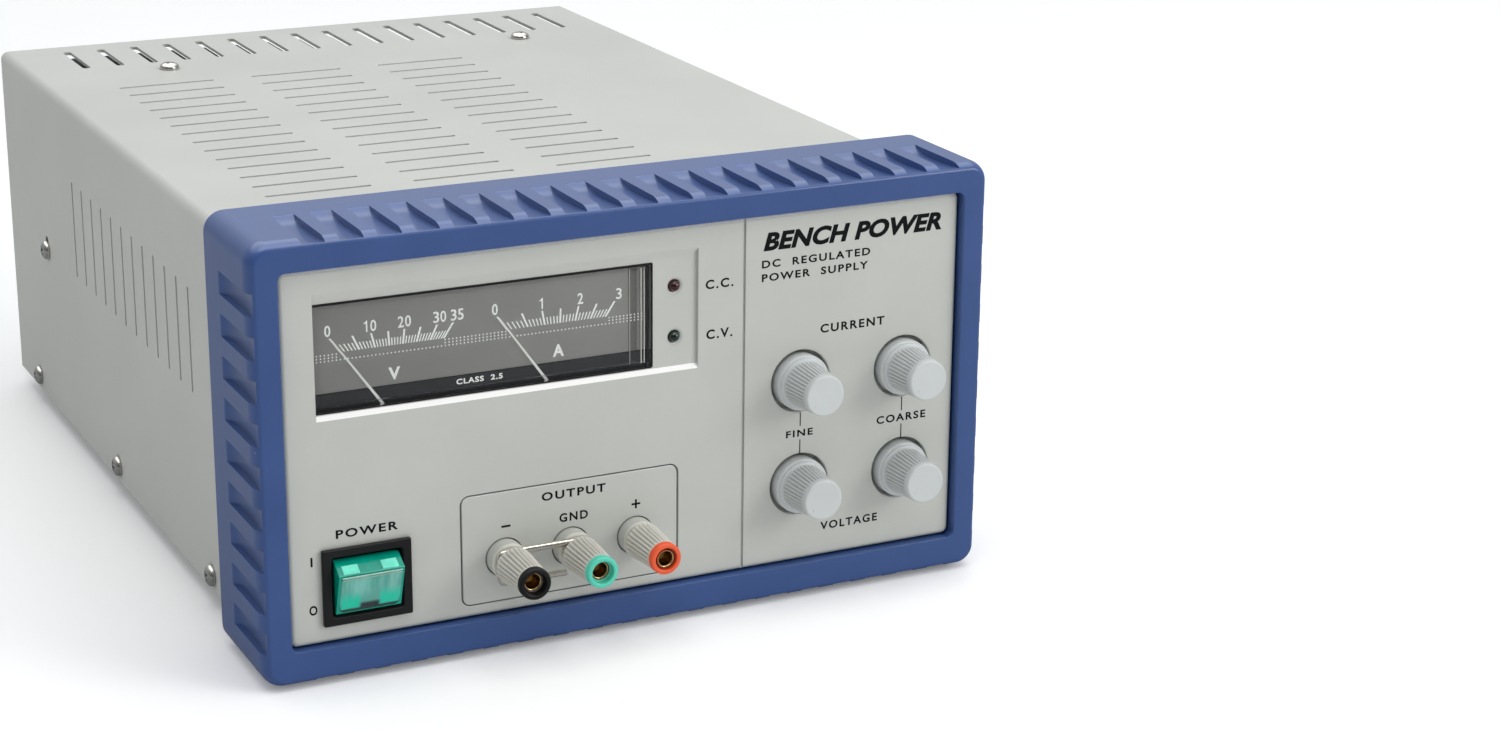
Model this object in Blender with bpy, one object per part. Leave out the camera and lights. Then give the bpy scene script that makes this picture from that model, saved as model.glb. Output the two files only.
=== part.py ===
"""Bench power supply: steel case, moulded front bezel, twin pointer meter, knobs, rocker and binding posts.

Lengths are in millimetres and go to metres as each mesh is made. The front faces -Y, X is to the right
as seen from the front and Z is up. The origin is the bottom centre of the whole object, and a depth is
measured backwards from the bezel's front plane.
"""

import math

import bmesh
import bpy
from mathutils import Vector

MM = 0.001
GAP = 0.3
FRONT_Y = -132.65

# Case
CASE_HALF_WIDTH = 100.7
CASE_BOTTOM = 5.5
CASE_TOP = 113.6
CASE_BEND = 2.6
COVER_SHEET = 1.0
COVER_FRONT = 6.2
COVER_REAR = 284.5
TRAY_SHEET = 1.2
TRAY_SIDE_TOP = 21.0
SLOT_PITCH = 11.3
TOP_SLOT_ROWS = 14
TOP_SLOT_FIRST = 68.2
TOP_SLOT_SPANS = ((-79.7, -49.5), (-37.4, -7.5), (5.2, 34.5))
SIDE_SLOT_COUNT = 12
SIDE_SLOT_FIRST = 73.3
SIDE_SLOT_SPAN = (59.6, 89.7)
LOUVRE_WIDTH = 1.2
REAR_SLOT_COUNT = 16
REAR_SLOT_PITCH = 11.06
REAR_SLOT_FIRST = -81.2
REAR_SLOT_SPAN = (248.4, 275.6)
REAR_SLOT_WIDTH = 2.6
SIDE_SCREWS = ((62.6, 9.9), (159.2, 10.2), (257.3, 10.2), (235.3, 58.7))
TOP_SCREWS = ((-57.4, 237.4), (64.1, 237.6))
SCREW_HEAD_RADIUS = 3.1

# Bezel
BEZEL_WIDTH = 212.0
BEZEL_BOTTOM = 1.0
BEZEL_TOP = 120.0
BEZEL_DEPTH = 37.5
BEZEL_CORNER = 5.5
BEZEL_EDGE_INSET = 2.2
BEZEL_EDGE_DEPTH = 4.6
BEZEL_EDGE_STEPS = 5
OPENING_HALF_WIDTH = 98.2
OPENING_BOTTOM = 10.5
OPENING_TOP = 111.8
LIP_DEPTH = 5.5
NOTCH_RUN = 6.2
NOTCH_FLOOR = ((25.2, 0.0), (22.6, 1.2), (19.0, 1.85), (13.5, 2.0), (7.5, 1.8), (1.2, 1.3), (-0.5, 1.1))
TOP_NOTCH_COUNT = 19
TOP_NOTCH_FIRST = -85.6
TOP_NOTCH_PITCH = 10.12
SIDE_NOTCH_COUNT = 9
SIDE_NOTCH_FIRST = 10.8
SIDE_NOTCH_PITCH = 11.31

# Front panel
PANEL_FACE = 2.4
PANEL_SKIN = 2.5
PANEL_BACK = 8.3
RECESS = (-89.0, 18.1, 72.55, 103.3)
RECESS_RAMP = 1.6
SILL_RAMP = 1.2
RECESS_FLOOR = 3.4
WINDOW = (-88.95, 5.2, 72.7, 102.0)
LED_X = 11.6
LED_HEIGHTS = {"cc": 94.7, "cv": 80.6}
KNOB_COLUMNS = {"fine": 49.4, "coarse": 81.4}
KNOB_ROWS = {"current": 63.2, "voltage": 33.2}
WELL_RADIUS = 8.95
WELL_FLOOR = 6.8
KNOB_SHAFT_RADIUS = 3.0

# Meter
METER_BOTTOM = 59.5
PLATE_FACE = 6.4
NEEDLE_FRONT = 5.2
NEEDLE_PIVOT_Z = 67.7
NEEDLE_LENGTH = 29.2
NEEDLE_REST_DEG = 35.3
NEEDLE_PIVOTS = {"volts": -66.4, "amps": -20.9}

# Rocker switch
SWITCH_CENTRE = (-77.05, 26.2)
SWITCH_FRAME = (24.3, 21.1)
SWITCH_OPENING = (18.6, 15.8)
ROCKER_PIVOT = 4.3
ROCKER_TILT_DEG = 18.0

# Binding posts
POST_COLUMNS = {"negative": -38.5, "ground": -19.5, "positive": -0.5}
POST_Z = 26.4
STUD_RADIUS = 2.5
SOCKET_RADIUS = 2.0
COLLAR_RADIUS = 5.15
COLLAR_FRONT = -2.3
CAP_LENGTH = 14.9
CAP_BASES = {"negative": -4.3, "ground": -4.3, "positive": -2.7}
LINK_SAG = 0.7

# Rear
UPPER_REAR = 241.6
LOWER_REAR = 280.5
STEP_Z = 48.0
REAR_SHEET = 1.2
FIN_COUNT = 17
FIN_FIRST = -89.26
FIN_THICKNESS = 1.6
FIN_END = 279.3
INLET_X = 62.0
INLET_Z = 27.5
SELECTOR_X = 12.0
SELECTOR_Z = 27.5

SEGMENTS = 28


def depth(value):
    """World Y, in millimetres, of a depth behind the bezel's front plane."""
    return FRONT_Y + value


def material(name, colour, metallic=0.0, roughness=0.5, alpha=1.0):
    made = bpy.data.materials.new(name)
    made.use_nodes = True
    shader = made.node_tree.nodes["Principled BSDF"]
    shader.inputs["Base Color"].default_value = (*colour, 1.0)
    shader.inputs["Metallic"].default_value = metallic
    shader.inputs["Roughness"].default_value = roughness
    shader.inputs["Alpha"].default_value = alpha
    made.diffuse_color = (*colour, alpha)
    return made


def rounded_rectangle(x0, x1, z0, z1, radius, steps=4):
    """Counter-clockwise outline of a rectangle with rounded corners."""
    outline = []
    corners = ((x1, z0, -90), (x1, z1, 0), (x0, z1, 90), (x0, z0, 180))
    for x, z, start in corners:
        centre_x = x - math.copysign(radius, x - (x0 + x1) / 2)
        centre_z = z - math.copysign(radius, z - (z0 + z1) / 2)
        for step in range(steps + 1):
            angle = math.radians(start + 90 * step / steps)
            outline.append((centre_x + radius * math.cos(angle), centre_z + radius * math.sin(angle)))
    return outline


def to_world(axis, a, b, along):
    """A point from its two coordinates across an axis and the one along it."""
    if axis == "x":
        return (along, a, b)
    if axis == "y":
        return (a, along, b)
    return (a, b, along)


def add_box(mesh, low, high):
    corners = [
        mesh.verts.new((x, y, z)) for x in (low[0], high[0]) for y in (low[1], high[1]) for z in (low[2], high[2])
    ]
    for face in ((0, 1, 3, 2), (4, 6, 7, 5), (0, 4, 5, 1), (2, 3, 7, 6), (0, 2, 6, 4), (1, 5, 7, 3)):
        mesh.faces.new([corners[index] for index in face])


def add_prism(mesh, axis, outline, start, end):
    """A closed prism of an outline, between two places along an axis."""
    first = [mesh.verts.new(to_world(axis, a, b, start)) for a, b in outline]
    last = [mesh.verts.new(to_world(axis, a, b, end)) for a, b in outline]
    mesh.faces.new(first[::-1])
    mesh.faces.new(last)
    count = len(outline)
    for index in range(count):
        after = (index + 1) % count
        mesh.faces.new((first[index], first[after], last[after], last[index]))


def add_rings(mesh, rings, closed):
    """Quads between rings of equal length. Open stacks get a cap at each end."""
    loops = [[mesh.verts.new(point) for point in ring] for ring in rings]
    pairs = list(zip(loops, loops[1:]))
    if closed:
        pairs.append((loops[-1], loops[0]))
    else:
        mesh.faces.new(loops[0][::-1])
        mesh.faces.new(loops[-1])
    for near, far in pairs:
        count = len(near)
        for index in range(count):
            after = (index + 1) % count
            mesh.faces.new((near[index], near[after], far[after], far[index]))


def add_lathe(mesh, axis, centre, profile, segments=SEGMENTS):
    """A turned solid. The profile holds (place along the axis, radius) pairs. If no radius is zero the profile
    closes on itself, which leaves a bore."""
    solid = profile[0][1] == 0 and profile[-1][1] == 0
    points = profile[1:-1] if solid else profile
    rings = []
    for along, radius in points:
        ring = []
        for index in range(segments):
            angle = 2 * math.pi * index / segments
            a = centre[0] + radius * math.cos(angle)
            b = centre[1] + radius * math.sin(angle)
            ring.append(to_world(axis, a, b, along))
        rings.append(ring)
    if not solid:
        add_rings(mesh, rings, True)
        return
    loops = [[mesh.verts.new(point) for point in ring] for ring in rings]
    for near, far in zip(loops, loops[1:]):
        for index in range(segments):
            after = (index + 1) % segments
            mesh.faces.new((near[index], near[after], far[after], far[index]))
    for loop, along in ((loops[0], profile[0][0]), (loops[-1], profile[-1][0])):
        tip = mesh.verts.new(to_world(axis, centre[0], centre[1], along))
        for index in range(segments):
            mesh.faces.new((loop[index], loop[(index + 1) % segments], tip))


def add_tube(mesh, points, radius, sides=6):
    """A round wire through a list of points."""
    path = [Vector(point) for point in points]
    rings = []
    side = Vector((0, 0, 1))
    for index, point in enumerate(path):
        before = path[max(index - 1, 0)]
        after = path[min(index + 1, len(path) - 1)]
        along = (after - before).normalized()
        side = (side - along * side.dot(along)).normalized()
        other = along.cross(side)
        ring = []
        for step in range(sides):
            angle = 2 * math.pi * step / sides
            ring.append(point + radius * (math.cos(angle) * side + math.sin(angle) * other))
        rings.append(ring)
    add_rings(mesh, rings, False)


def smooth_path(points, steps=3):
    """Catmull-Rom points through the given ones."""
    path = [Vector(point) for point in points]
    ends = [path[0] * 2 - path[1]] + path + [path[-1] * 2 - path[-2]]
    found = []
    for index in range(1, len(ends) - 2):
        p0, p1, p2, p3 = ends[index - 1 : index + 3]
        for step in range(steps):
            t = step / steps
            cubic = (3 * p1 - p0 - 3 * p2 + p3) * t**3
            square = (2 * p0 - 5 * p1 + 4 * p2 - p3) * t**2
            found.append((cubic + square + (p2 - p0) * t + 2 * p1) / 2)
    found.append(path[-1])
    return found


def make_object(name, mesh, finish, origin=(0.0, 0.0, 0.0), smooth_deg=0.0):
    """An object from a mesh in millimetres, with its origin at a given point."""
    bmesh.ops.recalc_face_normals(mesh, faces=mesh.faces)
    start = Vector(origin)
    for vertex in mesh.verts:
        vertex.co = (vertex.co - start) * MM
    if smooth_deg:
        limit = math.radians(smooth_deg)
        for edge in mesh.edges:
            edge.smooth = edge.calc_face_angle(0) < limit
        for face in mesh.faces:
            face.smooth = True
    data = bpy.data.meshes.new(name)
    mesh.to_mesh(data)
    mesh.free()
    made = bpy.data.objects.new(name, data)
    made.location = start * MM
    bpy.context.scene.collection.objects.link(made)
    if finish:
        data.materials.append(finish)
    return made


def apply_shape(target, mesh, operation):
    """Cuts a helper mesh out of a target, or joins it on."""
    name = f"{target.name}_{operation.lower()}_{len(target.modifiers)}"
    helper = make_object(name, mesh, None)
    helper.hide_render = True
    helper.display_type = "WIRE"
    modifier = target.modifiers.new(name, "BOOLEAN")
    modifier.operation = operation
    modifier.solver = "EXACT"
    modifier.object = helper


def turned(name, finish, axis, centre, profile, segments=SEGMENTS, origin=(0.0, 0.0, 0.0)):
    mesh = bmesh.new()
    add_lathe(mesh, axis, centre, profile, segments)
    return make_object(name, mesh, finish, origin, 40)


def box_object(name, finish, low, high):
    mesh = bmesh.new()
    add_box(mesh, low, high)
    return make_object(name, mesh, finish)


def ring_at(outline, y):
    return [(x, y, z) for x, z in outline]


def cover_outline():
    """The inverted U of the cover's section, outside then inside."""

    def arch(half, top, bend):
        path = [(-half, CASE_BOTTOM)]
        for centre, start in (((-half + bend, top - bend), 180), ((half - bend, top - bend), 90)):
            for step in range(5):
                angle = math.radians(start - 90 * step / 4)
                path.append((centre[0] + bend * math.cos(angle), centre[1] + bend * math.sin(angle)))
        path.append((half, CASE_BOTTOM))
        return path

    outside = arch(CASE_HALF_WIDTH, CASE_TOP, CASE_BEND)
    inside = arch(CASE_HALF_WIDTH - COVER_SHEET, CASE_TOP - COVER_SHEET, CASE_BEND - COVER_SHEET)
    return outside + inside[::-1]


def make_cover(finish):
    mesh = bmesh.new()
    add_prism(mesh, "y", cover_outline(), depth(COVER_FRONT), depth(COVER_REAR))
    cover = make_object("top_cover", mesh, finish, smooth_deg=40)
    slots = bmesh.new()
    half = LOUVRE_WIDTH / 2
    for row in range(TOP_SLOT_ROWS):
        middle = depth(TOP_SLOT_FIRST + row * SLOT_PITCH)
        for left, right in TOP_SLOT_SPANS:
            add_box(slots, (left, middle - half, CASE_TOP - 2), (right, middle + half, CASE_TOP + 1))
    for index in range(SIDE_SLOT_COUNT):
        middle = depth(SIDE_SLOT_FIRST + index * SLOT_PITCH)
        for side in (-1, 1):
            near = side * (CASE_HALF_WIDTH - 2)
            far = side * (CASE_HALF_WIDTH + 1)
            low = (min(near, far), middle - half, SIDE_SLOT_SPAN[0])
            high = (max(near, far), middle + half, SIDE_SLOT_SPAN[1])
            add_box(slots, low, high)
    for index in range(REAR_SLOT_COUNT):
        centre = REAR_SLOT_FIRST + index * REAR_SLOT_PITCH
        low = (centre - REAR_SLOT_WIDTH / 2, depth(REAR_SLOT_SPAN[0]), CASE_TOP - 2)
        high = (centre + REAR_SLOT_WIDTH / 2, depth(REAR_SLOT_SPAN[1]), CASE_TOP + 1)
        add_box(slots, low, high)
    for x, back in TOP_SCREWS:
        add_lathe(slots, "z", (x, depth(back)), screw_hole(CASE_TOP - 2, CASE_TOP + 1, 1.8), 12)
    for back, z in SIDE_SCREWS:
        span = screw_hole(-CASE_HALF_WIDTH - 1, -CASE_HALF_WIDTH + 2, 1.8)
        add_lathe(slots, "x", (depth(back), z), span, 12)
    apply_shape(cover, slots, "DIFFERENCE")


def screw_hole(start, end, radius):
    return [(start, 0), (start, radius), (end, radius), (end, 0)]


def make_tray(finish):
    half = CASE_HALF_WIDTH - COVER_SHEET - GAP
    bottom = CASE_BOTTOM + 0.2
    inner = half - TRAY_SHEET
    outline = [
        (-half, bottom),
        (half, bottom),
        (half, TRAY_SIDE_TOP),
        (inner, TRAY_SIDE_TOP),
        (inner, bottom + TRAY_SHEET),
        (-inner, bottom + TRAY_SHEET),
        (-inner, TRAY_SIDE_TOP),
        (-half, TRAY_SIDE_TOP),
    ]
    mesh = bmesh.new()
    add_prism(mesh, "y", outline, depth(9.2), depth(283.0))
    tray = make_object("chassis_tray", mesh, finish)
    holes = bmesh.new()
    for back, z in SIDE_SCREWS[:3]:
        add_lathe(holes, "x", (depth(back), z), screw_hole(-half - 1, -inner + 1, 1.8), 12)
    for index in range(7):
        start = depth(150 + index * 9.0)
        add_box(holes, (20, start, bottom - 1), (70, start + 3.0, bottom + TRAY_SHEET + 1))
    apply_shape(tray, holes, "DIFFERENCE")


def make_rear_panel(finish):
    half = CASE_HALF_WIDTH - COVER_SHEET - GAP
    top = CASE_TOP - COVER_SHEET - GAP
    sheet = REAR_SHEET
    upper = depth(UPPER_REAR)
    lower = depth(LOWER_REAR)
    flange = depth(UPPER_REAR - 11.0)
    outline = [
        (flange, top),
        (flange, top - sheet),
        (upper - sheet, top - sheet),
        (upper - sheet, STEP_Z - sheet),
        (lower - sheet, STEP_Z - sheet),
        (lower - sheet, 7.3),
        (lower, 7.3),
        (lower, STEP_Z),
        (upper, STEP_Z),
        (upper, top),
    ]
    mesh = bmesh.new()
    add_prism(mesh, "x", outline, -half + TRAY_SHEET + GAP, half - TRAY_SHEET - GAP)
    panel = make_object("rear_panel", mesh, finish)
    sides = bmesh.new()
    for side in (-1, 1):
        outer = side * half
        inner = side * (half - sheet)
        joined = side * (half - sheet - 2.0)
        outline = [
            (outer, flange),
            (outer, upper),
            (joined, upper),
            (joined, upper - sheet),
            (inner, upper - sheet),
            (inner, flange),
        ]
        add_prism(sides, "z", outline, STEP_Z + 2, top - 2.5)
    apply_shape(panel, sides, "UNION")
    holes = bmesh.new()
    for x, back in TOP_SCREWS:
        add_lathe(holes, "z", (x, depth(back) - 0.0), screw_hole(top - 3, top + 1, 1.8), 12)
    back, z = SIDE_SCREWS[3]
    add_lathe(holes, "x", (depth(back), z), screw_hole(-half - 1, -half + 3, 1.8), 12)
    add_box(
        holes,
        (INLET_X - 13.8, lower - 3, INLET_Z - 16.3),
        (INLET_X + 13.8, lower + 1, INLET_Z + 16.3),
    )
    add_box(
        holes,
        (SELECTOR_X - 10.3, lower - 3, SELECTOR_Z - 6.3),
        (SELECTOR_X + 10.3, lower + 1, SELECTOR_Z + 6.3),
    )
    add_box(holes, (18.0, upper - 3, 66.0), (62.0, upper + 1, 96.0))
    apply_shape(panel, holes, "DIFFERENCE")


def make_heatsink(finish):
    start = depth(UPPER_REAR + GAP)
    root = start + 4.0
    end = depth(FIN_END)
    left = FIN_FIRST - FIN_THICKNESS / 2
    last = FIN_FIRST + (FIN_COUNT - 1) * REAR_SLOT_PITCH + FIN_THICKNESS / 2
    outline = [(left, start), (last, start)]
    for index in reversed(range(FIN_COUNT)):
        centre = FIN_FIRST + index * REAR_SLOT_PITCH
        right_side = centre + FIN_THICKNESS / 2
        left_side = centre - FIN_THICKNESS / 2
        if index < FIN_COUNT - 1:
            outline.append((right_side, root))
        outline.append((right_side, end))
        outline.append((left_side, end))
        if index:
            outline.append((left_side, root))
    mesh = bmesh.new()
    add_prism(mesh, "z", outline, STEP_Z + 1.0, 110.6)
    make_object("heatsink", mesh, finish)


def make_bezel(finish):
    half = BEZEL_WIDTH / 2
    cavity_half = CASE_HALF_WIDTH + GAP
    rings = []
    for step in range(BEZEL_EDGE_STEPS + 1):
        angle = math.pi / 2 * step / BEZEL_EDGE_STEPS
        inset = BEZEL_EDGE_INSET * (1 - math.sin(angle))
        rings.append(bezel_ring(inset, BEZEL_EDGE_DEPTH * (1 - math.cos(angle))))
    rings.append(bezel_ring(0.0, BEZEL_DEPTH - 0.8))
    rings.append(bezel_ring(0.8, BEZEL_DEPTH))
    cavity = rounded_rectangle(-cavity_half, cavity_half, CASE_BOTTOM - GAP, CASE_TOP + GAP, 0.4)
    opening = rounded_rectangle(-OPENING_HALF_WIDTH, OPENING_HALF_WIDTH, OPENING_BOTTOM, OPENING_TOP, 2.0)
    rings.append(ring_at(cavity, depth(BEZEL_DEPTH)))
    rings.append(ring_at(cavity, depth(LIP_DEPTH)))
    rings.append(ring_at(opening, depth(LIP_DEPTH)))
    rings.append(ring_at(opening, depth(0.0)))
    mesh = bmesh.new()
    add_rings(mesh, rings, True)
    bezel = make_object("front_bezel", mesh, finish, smooth_deg=40)
    notches = bmesh.new()
    for index in range(TOP_NOTCH_COUNT):
        wall = TOP_NOTCH_FIRST + index * TOP_NOTCH_PITCH
        add_notch(notches, (wall, BEZEL_TOP), (-1, 0), (0, 1))
        add_notch(notches, (wall, BEZEL_BOTTOM), (-1, 0), (0, -1))
    for index in range(SIDE_NOTCH_COUNT):
        wall = SIDE_NOTCH_FIRST + index * SIDE_NOTCH_PITCH
        add_notch(notches, (-half, wall), (0, 1), (-1, 0))
        add_notch(notches, (half, wall), (0, 1), (1, 0))
    apply_shape(bezel, notches, "DIFFERENCE")


def bezel_ring(inset, back):
    half = BEZEL_WIDTH / 2 - inset
    corner = max(BEZEL_CORNER - inset, 0.5)
    outline = rounded_rectangle(-half, half, BEZEL_BOTTOM + inset, BEZEL_TOP - inset, corner)
    return ring_at(outline, depth(back))


def add_notch(mesh, corner, run, out):
    """A thumb-grip pocket: straight walls, and a hollow floor that runs out at the back and at the curved front."""
    lift = 1.0
    profile = [(back, -below) for back, below in NOTCH_FLOOR]
    profile += [(NOTCH_FLOOR[-1][0], lift), (NOTCH_FLOOR[0][0] + lift, lift)]
    rings = []
    for along in (0.0, NOTCH_RUN):
        ring = []
        for behind, away in profile:
            x = corner[0] + run[0] * along + out[0] * away
            z = corner[1] + run[1] * along + out[1] * away
            ring.append((x, depth(behind), z))
        rings.append(ring)
    add_rings(mesh, rings, False)


def make_front_panel(finish):
    half = OPENING_HALF_WIDTH - GAP
    low = OPENING_BOTTOM + GAP
    high = OPENING_TOP - GAP
    flange_half = CASE_HALF_WIDTH - GAP
    shoulder = depth(LIP_DEPTH + GAP)
    rings = []
    for inset, back in ((1.4, PANEL_FACE), (0.4, PANEL_FACE + 0.4), (0.0, PANEL_FACE + 1.4)):
        outline = rounded_rectangle(-half + inset, half - inset, low + inset, high - inset, 1.9 - inset)
        rings.append(ring_at(outline, depth(back)))
    rings.append(ring_at(rounded_rectangle(-half, half, low, high, 1.9), shoulder))
    flange = rounded_rectangle(-flange_half, flange_half, CASE_BOTTOM + GAP, CASE_TOP - GAP, 1.9)
    rings.append(ring_at(flange, shoulder))
    rings.append(ring_at(flange, depth(COVER_FRONT - GAP)))
    body = rounded_rectangle(
        -flange_half + 2.0, flange_half - 2.0, CASE_BOTTOM + 2.5, CASE_TOP - 2.3, 1.9
    )
    rings.append(ring_at(body, depth(COVER_FRONT - GAP)))
    rings.append(ring_at(body, depth(PANEL_BACK)))
    mesh = bmesh.new()
    add_rings(mesh, rings, False)
    panel = make_object("front_panel", mesh, finish, smooth_deg=40)

    pocket = bmesh.new()
    add_box(
        pocket,
        (-half + 2.4, depth(PANEL_FACE + PANEL_SKIN), low + 2.4),
        (half - 2.4, depth(PANEL_BACK + 1), high - 2.4),
    )
    apply_shape(panel, pocket, "DIFFERENCE")

    cups = bmesh.new()
    for x in KNOB_COLUMNS.values():
        for z in KNOB_ROWS.values():
            cup = screw_hole(depth(PANEL_FACE + 1.5), depth(PANEL_BACK), WELL_RADIUS + 1.6)
            add_lathe(cups, "y", (x, z), cup)
    apply_shape(panel, cups, "UNION")

    cuts = bmesh.new()
    front = depth(-1)
    left, right, bottom, top = RECESS
    outline = [
        (front, bottom - SILL_RAMP * 3.6),
        (front, top + RECESS_RAMP * 3.6),
        (depth(PANEL_FACE), top + RECESS_RAMP),
        (depth(RECESS_FLOOR), top),
        (depth(RECESS_FLOOR), bottom),
        (depth(PANEL_FACE), bottom - SILL_RAMP),
    ]
    add_prism(cuts, "x", outline, left, right)
    apply_shape(panel, cuts, "DIFFERENCE")

    holes = bmesh.new()
    left, right, bottom, top = WINDOW
    add_box(holes, (left, front, bottom), (right, depth(6), top))
    for z in LED_HEIGHTS.values():
        add_lathe(holes, "y", (LED_X, z), screw_hole(front, depth(6), 1.8), 16)
    for x in KNOB_COLUMNS.values():
        for z in KNOB_ROWS.values():
            add_lathe(holes, "y", (x, z), screw_hole(front, depth(WELL_FLOOR), WELL_RADIUS))
    apply_shape(panel, holes, "DIFFERENCE")

    through = bmesh.new()
    for x in KNOB_COLUMNS.values():
        for z in KNOB_ROWS.values():
            add_lathe(through, "y", (x, z), screw_hole(depth(4), depth(10), 3.9), 16)
    for x in POST_COLUMNS.values():
        add_lathe(through, "y", (x, POST_Z), screw_hole(front, depth(6), COLLAR_RADIUS + GAP), 24)
    width = SWITCH_FRAME[0] - 2.4
    height = SWITCH_FRAME[1] - 1.8
    add_box(
        through,
        (SWITCH_CENTRE[0] - width / 2, front, SWITCH_CENTRE[1] - height / 2),
        (SWITCH_CENTRE[0] + width / 2, depth(6), SWITCH_CENTRE[1] + height / 2),
    )
    add_box(through, (31.4, front, OPENING_BOTTOM - 1), (32.2, depth(PANEL_FACE + 0.6), OPENING_TOP + 1))
    apply_shape(panel, through, "DIFFERENCE")


def make_meter(black, dark, clear, white):
    left, right, bottom, top = WINDOW
    wall = 1.5
    outer_low = (left - 0.6 - wall, depth(PANEL_FACE + PANEL_SKIN + GAP), METER_BOTTOM - wall)
    outer_high = (right + 0.6 + wall, depth(40.0), top + 1.2 + wall)
    housing = box_object("meter_housing", black, outer_low, outer_high)
    hollow = bmesh.new()
    add_box(
        hollow,
        (left - 0.6, outer_low[1] - 1, METER_BOTTOM),
        (right + 0.6, depth(38.0), top + 1.2),
    )
    apply_shape(housing, hollow, "DIFFERENCE")

    plate = box_object(
        "meter_scale",
        dark,
        (left - GAP, depth(PLATE_FACE), METER_BOTTOM + GAP),
        (right + GAP, depth(PLATE_FACE + 0.8), top + 0.9),
    )
    holes = bmesh.new()
    for x in NEEDLE_PIVOTS.values():
        hole = screw_hole(depth(PLATE_FACE - 1), depth(PLATE_FACE + 2), 1.4)
        add_lathe(holes, "y", (x, NEEDLE_PIVOT_Z), hole, 16)
    apply_shape(plate, holes, "DIFFERENCE")

    box_object(
        "meter_window",
        clear,
        (left + GAP, depth(3.2), bottom + GAP),
        (right - GAP, depth(4.5), top - GAP),
    )

    angle = math.radians(NEEDLE_REST_DEG)
    for label, x in NEEDLE_PIVOTS.items():
        mesh = bmesh.new()
        front = depth(NEEDLE_FRONT)
        hub = [
            (front, 0),
            (front, 2.4),
            (front + 0.6, 2.4),
            (front + 0.6, 0.8),
            (depth(14.0), 0.8),
            (depth(14.0), 0),
        ]
        add_lathe(mesh, "y", (x, NEEDLE_PIVOT_Z), hub, 16)
        pivot = (x, depth(NEEDLE_FRONT), NEEDLE_PIVOT_Z)
        needle = make_object(f"needle_{label}", mesh, white, pivot, 40)
        bar = bmesh.new()
        outline = []
        for along, across in ((-5.0, -0.7), (-5.0, 0.7), (0.0, 0.55), (NEEDLE_LENGTH, 0.3), (NEEDLE_LENGTH, -0.3),
                              (0.0, -0.55)):
            a = x - along * math.sin(angle) + across * math.cos(angle)
            b = NEEDLE_PIVOT_Z + along * math.cos(angle) + across * math.sin(angle)
            outline.append((a, b))
        add_prism(bar, "y", outline, front + 0.1, front + 0.5)
        apply_shape(needle, bar, "UNION")


def make_leds(red, green):
    for label, finish in (("cc", red), ("cv", green)):
        profile = [
            (depth(2.3), 0),
            (depth(2.4), 0.7),
            (depth(2.8), 1.25),
            (depth(3.6), 1.5),
            (depth(6.9), 1.5),
            (depth(6.9), 1.9),
            (depth(7.9), 1.9),
            (depth(7.9), 0.6),
            (depth(16.0), 0.6),
            (depth(16.0), 0),
        ]
        turned(f"led_{label}", finish, "y", (LED_X, LED_HEIGHTS[label]), profile, 16)


def make_controls(white, metal, board):
    for row, z in KNOB_ROWS.items():
        for column, x in KNOB_COLUMNS.items():
            profile = [
                (depth(-12.1), 0),
                (depth(-12.1), 5.3),
                (depth(-11.6), 5.75),
                (depth(-10.6), 5.75),
                (depth(-0.6), 6.6),
                (depth(0.2), 7.75),
                (depth(1.6), 7.9),
                (depth(4.6), 7.9),
                (depth(4.6), 4.4),
                (depth(1.6), 4.4),
                (depth(1.6), KNOB_SHAFT_RADIUS),
                (depth(12.0), KNOB_SHAFT_RADIUS),
                (depth(12.0), 0),
            ]
            origin = (x, depth(WELL_FLOOR), z)
            turned(f"knob_{row}_{column}", white, "y", (x, z), profile, SEGMENTS, origin)
            body = [
                (depth(3.4), 3.1),
                (depth(3.4), 3.6),
                (depth(8.7), 3.6),
                (depth(8.7), 8.0),
                (depth(15.8), 8.0),
                (depth(15.8), 3.1),
            ]
            turned(f"pot_{row}_{column}", metal, "y", (x, z), body, 24)
    pcb = box_object("front_board", board, (8.6, depth(16.2), 20.0), (95.0, depth(17.8), 106.0))
    holes = bmesh.new()
    for x in KNOB_COLUMNS.values():
        for z in KNOB_ROWS.values():
            add_lathe(holes, "y", (x, z), screw_hole(depth(15), depth(19), 2.0), 12)
    apply_shape(pcb, holes, "DIFFERENCE")


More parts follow.
